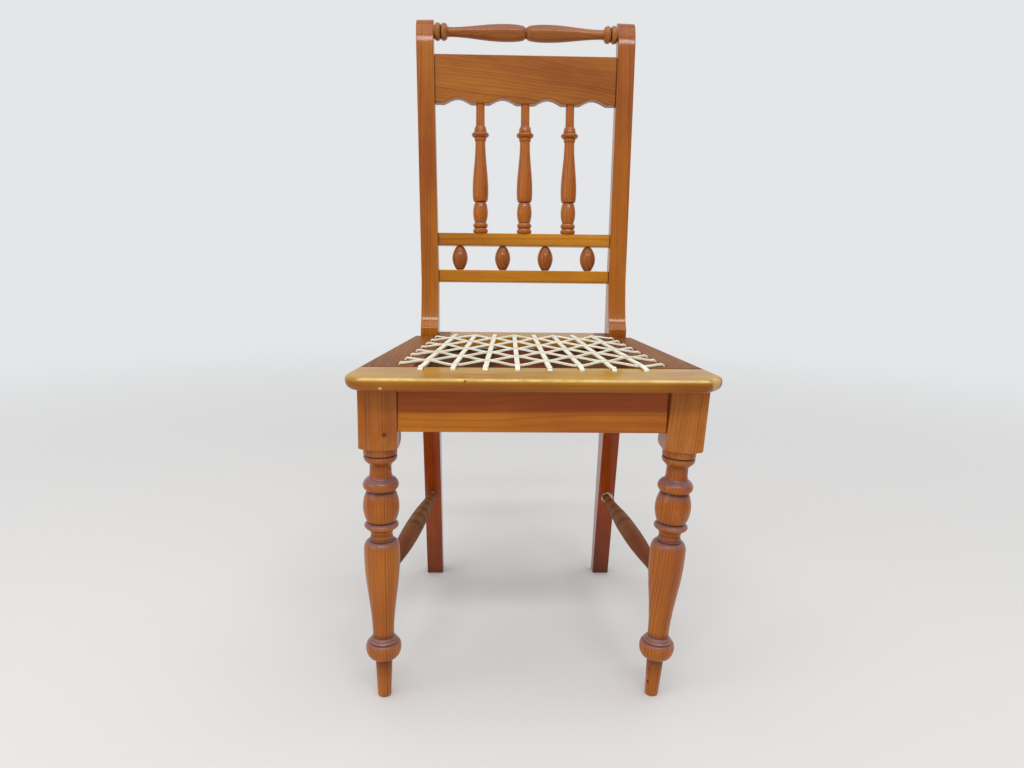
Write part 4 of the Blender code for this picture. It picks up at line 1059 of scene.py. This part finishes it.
def nosing_shadow_on_apron(tree, place, along, colour):
    """Painted shadow of the seat's nose: the upper half of the front apron is redder and darker than the lower half,
    with a wavy edge.
    """
    height = plus(tree, part(tree, place, 2), swing(tree, noise(tree, along, 9.0, (1, 1, 0.3)), 0.012))
    # Painted shadow: redder and darker above the wavy edge.
    red = tint(tree, colour, (0.74, 0.47, 0.30, 1))
    return blend(tree, between(tree, height, 0.3915, 0.3945), colour, red)


def burnt_rings(rear, way, length, rings, dark_from):
    """Dark rings scorched round a stretcher at shares of its length, and a darker front part."""
    def touch(tree, place, along, colour):
        gone = vector_calc(tree, "SUBTRACT", place, tuple(rear))
        share = calc(tree, "DIVIDE", vector_calc(tree, "DOT_PRODUCT", gone, tuple(way), "Value"), length)
        share = plus(tree, share, swing(tree, noise(tree, place, 130.0), 0.016))
        stops = [(0.0, 0.0)]
        for ring in rings:
            stops += [(ring - 0.034, 0.0), (ring, 0.75), (ring + 0.034, 0.0)]
        colour = blend(tree, ramp(tree, share, stops), colour, srgb(78, 38, 12))
        dull = tint(tree, colour, (0.74, 0.50, 0.50, 1))
        return blend(tree, between(tree, share, dark_from, dark_from + 0.2), colour, dull)
    return touch


# The chair put together

UPRIGHT = (0, 0, 0)
CROSSWISE = (0, pi / 2, 0)
BACKWARDS = (-pi / 2, 0, 0)
RAKED = (-BACK_RAKE, 0, 0)
SIDES = (("left", LEFT), ("right", RIGHT))
FLAT, BOARD, ROUND = 12, 14, 50     # angles up to which faces are shaded smooth, in degrees


def dress(piece, node, slot, name, *look, angle=32, **more):
    """Puts a modelled piece in its node's place, in a pine of its own."""
    hand_over(piece, node, pine(name + "_pine", *look, **more), angle)


def dress_legs():
    left, right = make_front_legs()
    pale, dark, chip = (178, 98, 14), (112, 50, 5), (60, 28, 14)
    knot = [(at(-0.1837, 0.031, 0.3639), 0.0030, (74, 30, 12), 0.85)]
    chips = [(at(0.1573, 0.047, 0.0398), 0.0036, chip, 0.9),
             (at(0.1572, 0.048, 0.0205), 0.0036, chip, 0.9)]
    dress(left, "front_leg_left", "pine_legs", "left_leg", pale, dark, at(-0.29, 0.030, 0.1),
          UPRIGHT, 0.0034, 0.004, 0.82, film=0.8, spots=knot)
    dress(right, "front_leg_right", "pine_legs", "right_leg", pale, dark, at(0.27, 0.045, 0.1),
          (0, LEG_LEAN + 0.03, 0), 0.0036, 0.012, 0.82, film=0.8, spots=chips)


def dress_posts():
    torn = at(0.1505, 0.406, 0.1547)
    # The pale ring is torn wood and the small pale spot a chip; the dark spot inside the ring is painted shade in the
    # worn hole.
    marks = [(torn, 0.0094, (255, 236, 214), 0.95),
             (torn + Vector((0.0012, 0, -0.0012)), 0.0050, (110, 48, 14), 0.95),
             (at(0.1651, 0.407, 0.1488), 0.0022, (222, 200, 160), 0.8)]
    for (name, side), pale, spots in zip(SIDES, ((170, 98, 14), (164, 90, 10)), ((), marks)):
        post = make_post(f"back_post_{name}_sawn", side)
        if side == RIGHT:
            tear_out(post)
        dress(post, f"back_post_{name}", "pine_back", f"{name}_post", pale, (128, 60, 6),
              at(side * 0.40, 0.40, 0.4), (-BACK_RAKE * 0.5, 0, 0), 0.0046, 0.012, 0.75,
              coat=0.60, coat_roughness=0.10, spots=spots, touch=shade_and_dirt_below, angle=FLAT)


def dress_back():
    dress(make_head_rail(), "head_rail", "pine_rails", "head_rail", (165, 98, 25), (119, 56, 10),
          at(0.02, 0.475, 0.73), (0, pi / 2 + 0.12, 0.10), 0.0044, 0.060, 0.75, angle=FLAT)
    for number, spindle in enumerate(make_spindles(), 1):
        dress(spindle, f"back_spindle_{number}", "pine_back", f"spindle_{number}",
              (173, 94, 20), (118, 54, 8), at((number - 2) * 0.072 + 0.05, 0.36, 0.7),
              RAKED, 0.0030, 0.006, 0.7, film=0.35)
    for number, piece in enumerate(make_beads(), 1):
        dress(piece, f"back_bead_{number}", "pine_back", f"bead_{number}",
              (154, 80, 18), (100, 43, 7), at((number - 2.5) * 0.07 + 0.04, 0.35, 0.56),
              RAKED, 0.0032, 0.006, 0.7)
    dress(make_crest(), "crest_rail", "pine_back", "crest", (163, 98, 40), (109, 55, 22),
          at(0, 0.33, 0.83), CROSSWISE, 0.0034, 0.008, 0.70, film=0.25)


def dress_seat():
    golden, golden_line = (180, 134, 36), (146, 96, 20)
    brown, brown_line = (138, 82, 24), (96, 50, 12)
    front, rear, right, left = make_seat()
    nicks = [(at(0.2192, 0.010, 0.4345), 0.011, (232, 200, 140), 0.45),
             (at(-0.1623, 0.003, 0.4231), 0.0020, (230, 196, 150), 0.9),
             (at(-0.1837, 0.001, 0.4276), 0.0024, (226, 190, 140), 0.8),
             (at(-0.0841, 0.001, 0.4375), 0.0018, (90, 44, 16), 0.9)]
    dress(front, "seat_front_board", "pine_seat", "seat_front", golden, golden_line,
          at(0, 0.06, 0.25), CROSSWISE, 0.0050, 0.020, 0.6, coat=0.35, spots=nicks,
          touch=nose_shade_and_edge_highlight, angle=BOARD)
    dress(rear, "seat_rear_board", "pine_seat", "seat_rear", golden, golden_line,
          at(0, 0.40, 0.30), CROSSWISE, 0.0050, 0.020, 0.6, coat=0.25, angle=BOARD)
    for (name, side), board in zip(SIDES, (left, right)):
        dress(board, f"seat_{name}_board", "pine_seat", f"seat_{name}", brown, brown_line,
              at(side * 0.24, 0.2, 0.38), BACKWARDS, 0.0045, 0.012, 0.9, roughness=0.55,
              coat=0.10, angle=BOARD)


def dress_stretchers():
    bars = ((LEFT_BAR_HEIGHT, (0.07, 0.14, 0.22, 0.31, 0.40, 0.50), 0.50),
            (RIGHT_BAR_HEIGHT, (0.10, 0.20, 0.30, 0.42), 0.45))
    for (name, side), (height, rings, dark_from) in zip(SIDES, bars):
        bar, rear, along, length = make_stretcher(f"side_stretcher_{name}_turned", side, height)
        glue = [(rear + along * 0.004 + Vector((0, -0.004, 0.003)), 0.0035, (214, 196, 160), 0.8)]
        dress(bar, f"side_stretcher_{name}", "dull_pine", f"{name}_stretcher",
              (142, 88, 34), (90, 48, 14), rear + Vector((0.03, 0, 0.01)),
              along.to_track_quat("Z", "Y").to_euler(), 0.0032, 0.006, 0.6,
              roughness=0.60, coat=0.06, coat_roughness=0.3, spots=glue if side == LEFT else (),
              touch=burnt_rings(rear, along, length, rings, dark_from))


def dress_solids():
    """Plain sawn pieces keep their CAD shape and get their surfaces."""
    def cover(node, name, *look, **more):
        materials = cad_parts[node].data.materials
        materials.clear()
        materials.append(pine(name + "_pine", *look, **more))

    red, red_line = (150, 82, 32), (100, 46, 18)
    cover("front_apron", "front_apron", (190, 110, 7), (133, 66, 3), at(0, 0.20, 0.30),
          CROSSWISE, 0.0050, 0.024, 0.45, touch=nosing_shadow_on_apron)
    cover("rear_apron", "rear_apron", red, red_line, at(0, 0.30, 0.30), CROSSWISE, 0.0050, 0.024, 0.6)
    for name, side in SIDES:
        apron = f"{name}_apron"
        cover(apron, apron, red, red_line, at(side * 0.30, 0.2, 0.40), BACKWARDS, 0.0050, 0.018, 0.6)
        for end, turn in (("front", -pi / 4), ("rear", pi / 4)):
            brace = f"brace_{end}_{name}"
            # Darkened brown: partly a stain, partly painted shade under the seat.
            cover(brace, brace + "_raw", (122, 84, 50), (92, 58, 30), at(side * 0.12, 0.2, 0.46),
                  (0, pi / 2, turn * side), 0.0040, 0.010, 0.7, roughness=0.75, coat=0.0)
    cover("lower_back_rail", "lower_rail", (190, 122, 13), (145, 83, 5), at(0, 0.45, 0.48),
          CROSSWISE, 0.0045, 0.014, 0.6)
    cover("spindle_rail", "spindle_rail", (184, 117, 19), (140, 79, 9), at(0, 0.46, 0.62),
          CROSSWISE, 0.0045, 0.014, 0.6)


dress_legs()
dress_posts()
dress_back()
dress_seat()
dress_stretchers()
dress_solids()
hand_over(make_lacing(), "seat_lacing", hide_finish(), ROUND)


# Floor, light and camera

def room_tone(tree, direction):
    """The room is pale behind the chair; in front of it, it is dimmer low down and brighter high up."""
    share = between(tree, part(tree, direction, 1), -0.25, 0.5, curve="SMOOTHSTEP")
    high = between(tree, part(tree, direction, 2), 0.12, 0.72, curve="SMOOTHSTEP")
    facing = blend(tree, high, (0.36, 0.36, 0.37, 1), (0.68, 0.68, 0.71, 1))
    return blend(tree, share, facing, (0.78, 0.79, 0.80, 1))


def seen_directly(tree):
    """1 where the camera, a reflection or glass looks, and 0 for the light that falls on things."""
    seen = lay(tree, "LightPath").outputs
    direct = calc(tree, "MAXIMUM", seen["Is Camera Ray"], seen["Is Glossy Ray"])
    return calc(tree, "MAXIMUM", direct, seen["Is Transmission Ray"])


def floor_finish():
    """A pale floor that keeps the chair's shadow and fades into the pale room further off."""
    material = bpy.data.materials.new("pale_floor")
    material.use_nodes = True
    tree = material.node_tree
    surface = tree.nodes["Principled BSDF"]
    fill(tree, surface.inputs, {"Base Color": (0.72, 0.71, 0.69, 1), "Roughness": 0.9})
    place = lay(tree, "TexCoord").outputs["Object"]
    away = vector_calc(tree, "LENGTH", place, output="Value")
    far = times(tree, between(tree, away, 0.7, 3.2, curve="SMOOTHSTEP"), seen_directly(tree))
    tone = room_tone(tree, vector_calc(tree, "NORMALIZE", place))
    glow = lay(tree, "Emission", {"Color": tone, "Strength": 1.0})
    both = lay(tree, "MixShader", {0: far, 1: surface.outputs[0], 2: glow.outputs[0]})
    fill(tree, tree.nodes["Material Output"].inputs, {"Surface": both.outputs[0]})
    return material


def make_stage():
    bpy.ops.object.select_all(action="DESELECT")
    bpy.ops.mesh.primitive_plane_add(size=14, location=(0, 0, 0))
    floor = bpy.context.object
    floor.name = "floor"
    floor.data.materials.append(floor_finish())
    world = bpy.data.worlds.new("soft_room")
    bpy.context.scene.world = world
    world.use_nodes = True
    tree = world.node_tree
    tone = room_tone(tree, lay(tree, "TexCoord").outputs["Generated"])
    fill(tree, tree.nodes["Background"].inputs, {"Color": tone, "Strength": 1.0})


def make_lamp(name, place, target, size, power):
    bpy.ops.object.light_add(type="AREA", location=place)
    lamp = bpy.context.object
    lamp.name = name
    lamp.data.shape = "RECTANGLE"
    lamp.data.size, lamp.data.size_y = size
    lamp.data.energy = power
    lamp.rotation_euler = (Vector(place) - Vector(target)).to_track_quat("Z", "Y").to_euler()


def make_camera():
    """The camera fitted to the photograph."""
    pitch, roll, yaw = radians(11.362), radians(0.764), radians(1.773)
    ahead = Vector((sin(yaw) * cos(pitch), cos(yaw) * cos(pitch), -sin(pitch)))
    right = Vector((cos(yaw), -sin(yaw), 0))
    up = right.cross(ahead)
    bpy.ops.object.camera_add(location=(-0.0587, -1.2051, 0.6283))
    camera = bpy.context.object
    camera.name = "camera"
    camera.data.sensor_width = 36
    camera.data.lens = 29.366
    side = cos(roll) * right + sin(roll) * up
    top = -sin(roll) * right + cos(roll) * up
    turn = Matrix((side, top, -ahead)).transposed().to_4x4()
    turn.translation = camera.location
    camera.matrix_world = turn
    bpy.context.scene.camera = camera


make_stage()
make_lamp("key", (0.15, -2.75, 3.45), (0, 0, 0.5), (3.2, 0.45), 54)
make_lamp("overhead", (0.1, -0.6, 2.95), (0, -0.2, 0.5), (3.2, 1.4), 19)
make_lamp("fill", (-2.4, -1.4, 1.5), (0, 0, 0.5), (1.6, 1.6), 12)
make_camera()
bpy.context.scene.view_settings.view_transform = "Standard"
